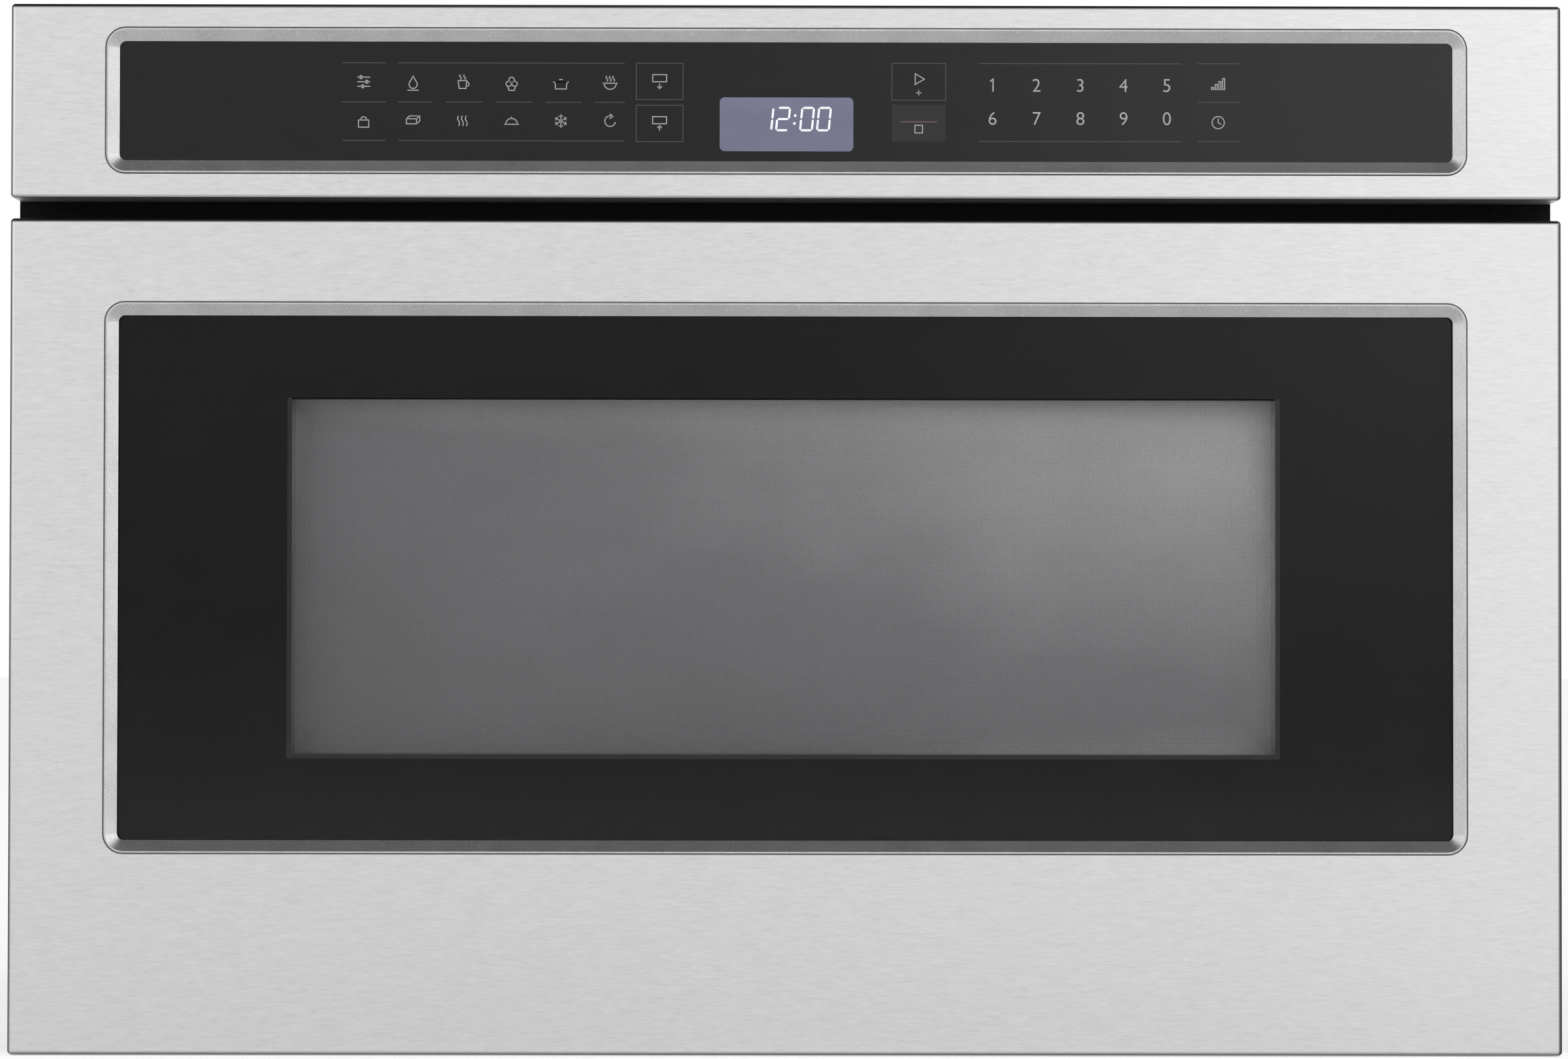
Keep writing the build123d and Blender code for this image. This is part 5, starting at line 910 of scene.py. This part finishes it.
def studio_world():
    """White to the eye, a plain even level of light, and its own view in reflections."""
    world = bpy.data.worlds.new("studio")
    world.use_nodes = True
    bpy.context.scene.world = world
    nodes = Nodes(world.node_tree)
    rays = nodes.node("ShaderNodeLightPath").outputs
    levels = (LIT_LEVEL, mirrored_studio(nodes), SEEN_LEVEL)
    lit, mirrored, seen = [
        nodes.node("ShaderNodeBackground", {"Color": WHITE, "Strength": level}).outputs[0]
        for level in levels
    ]
    either = nodes.math("MAXIMUM", rays["Is Glossy Ray"], rays["Is Transmission Ray"])
    unseen = nodes.node("ShaderNodeMixShader", {0: either, 1: lit, 2: mirrored}).outputs[0]
    both = nodes.node("ShaderNodeMixShader", {0: rays["Is Camera Ray"], 1: unseen, 2: seen}).outputs[0]
    nodes.join(both, world.node_tree.nodes["World Output"].inputs["Surface"])


def floor_finish():
    """Pale matt floor, lifted towards white for the eye, so that shadows stay."""
    pale = Finish("floor_pale", Roughness=0.85, Specular_IOR_Level=0.1)
    dust = pale.noise((3.0, 3.0, 3.0), 3.0)
    pale.feed("Base Color", pale.colours(dust, (0.80, 0.80, 0.80), (0.83, 0.83, 0.83)))
    rays = pale.node("ShaderNodeLightPath").outputs
    gloss = pale.times(rays["Is Glossy Ray"], FLOOR_GLOSS_LIFT)
    lift = pale.plus(gloss, pale.times(rays["Is Camera Ray"], FLOOR_EYE_LIFT))
    glow = pale.node("ShaderNodeEmission", {"Color": WHITE, "Strength": lift}).outputs[0]
    both = pale.node("ShaderNodeAddShader", {0: pale.shader.outputs[0], 1: glow}).outputs[0]
    pale.join(both, pale.output.inputs["Surface"])
    return pale.material


def floor():
    """A pale floor, and the pale board that the housing stands on behind its front."""
    pale = floor_finish()
    shape = bmesh.new()
    reach = FLOOR_REACH
    corners = ((-reach, -reach), (reach, -reach), (reach, reach), (-reach, reach))
    shape.faces.new([shape.verts.new((x * MM, y * MM, -FLOOR_DROP * MM)) for x, y in corners])
    link("floor", finished(shape, "floor"), pale)
    half, front, back = BOARD_SIZE
    shape = bmesh.new()
    outline = [(-half, -FLOOR_DROP), (half, -FLOOR_DROP), (half, BOARD_TOP), (-half, BOARD_TOP)]
    add_plate(shape, [outline], front, back)
    link("shelf_board", finished(shape, "shelf_board"), pale)


# ---------------------------------------------------------------- the scene


def main():
    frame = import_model()
    finishes = all_finishes()
    for node in frame["nodes"].values():
        for slot in node.material_slots:
            slot.material = finishes[slot.material.name.split(".")[0]]
    legend = ink("legend_grey", (0.5, 0.5, 0.5))
    rule = ink("rule_grey", (0.072, 0.072, 0.072))
    key_field = ink("key_field", (0.012, 0.012, 0.012), 0.0, 0.4)
    red = ink("ornament_red", (0.16, 0.10, 0.13))
    digits = ink("digit_white", (0.9, 0.9, 0.95), 0.35)
    print_black = backed_glass("glass_print_black", (0.002, 0.002, 0.002), (0.0035, 0.0035, 0.0035), 0.47)
    print_grey = backed_glass("glass_print_grey", (0.03, 0.03, 0.03), (0.036, 0.036, 0.037), 0.47)
    door_pane(finishes["door_glass"], print_black, print_grey)
    # painted shade: a grey sheet stands for the shade in the gaps beside the bezels
    bezel_seams(paint("seam_grey", (0.12, 0.12, 0.12), (0.18, 0.18, 0.18), 0.6))
    lit_display(finishes["display"])
    clock_face(digits)
    print_signs(legend)
    print_lines(rule)
    print_digits(legend)
    print_bar("stop_key_field", 1321, 1400.6, 155, 210, key_field)
    print_bar("stop_key_line", 1333, 1388, 179.8, 181.6, red, 0.02)
    studio_world()
    lamp("key_lamp", *KEY_LAMP)
    lamp("fill_lamp", *FILL_LAMP)
    floor()
    camera()
    bpy.context.scene.view_settings.view_transform = "Standard"


main()
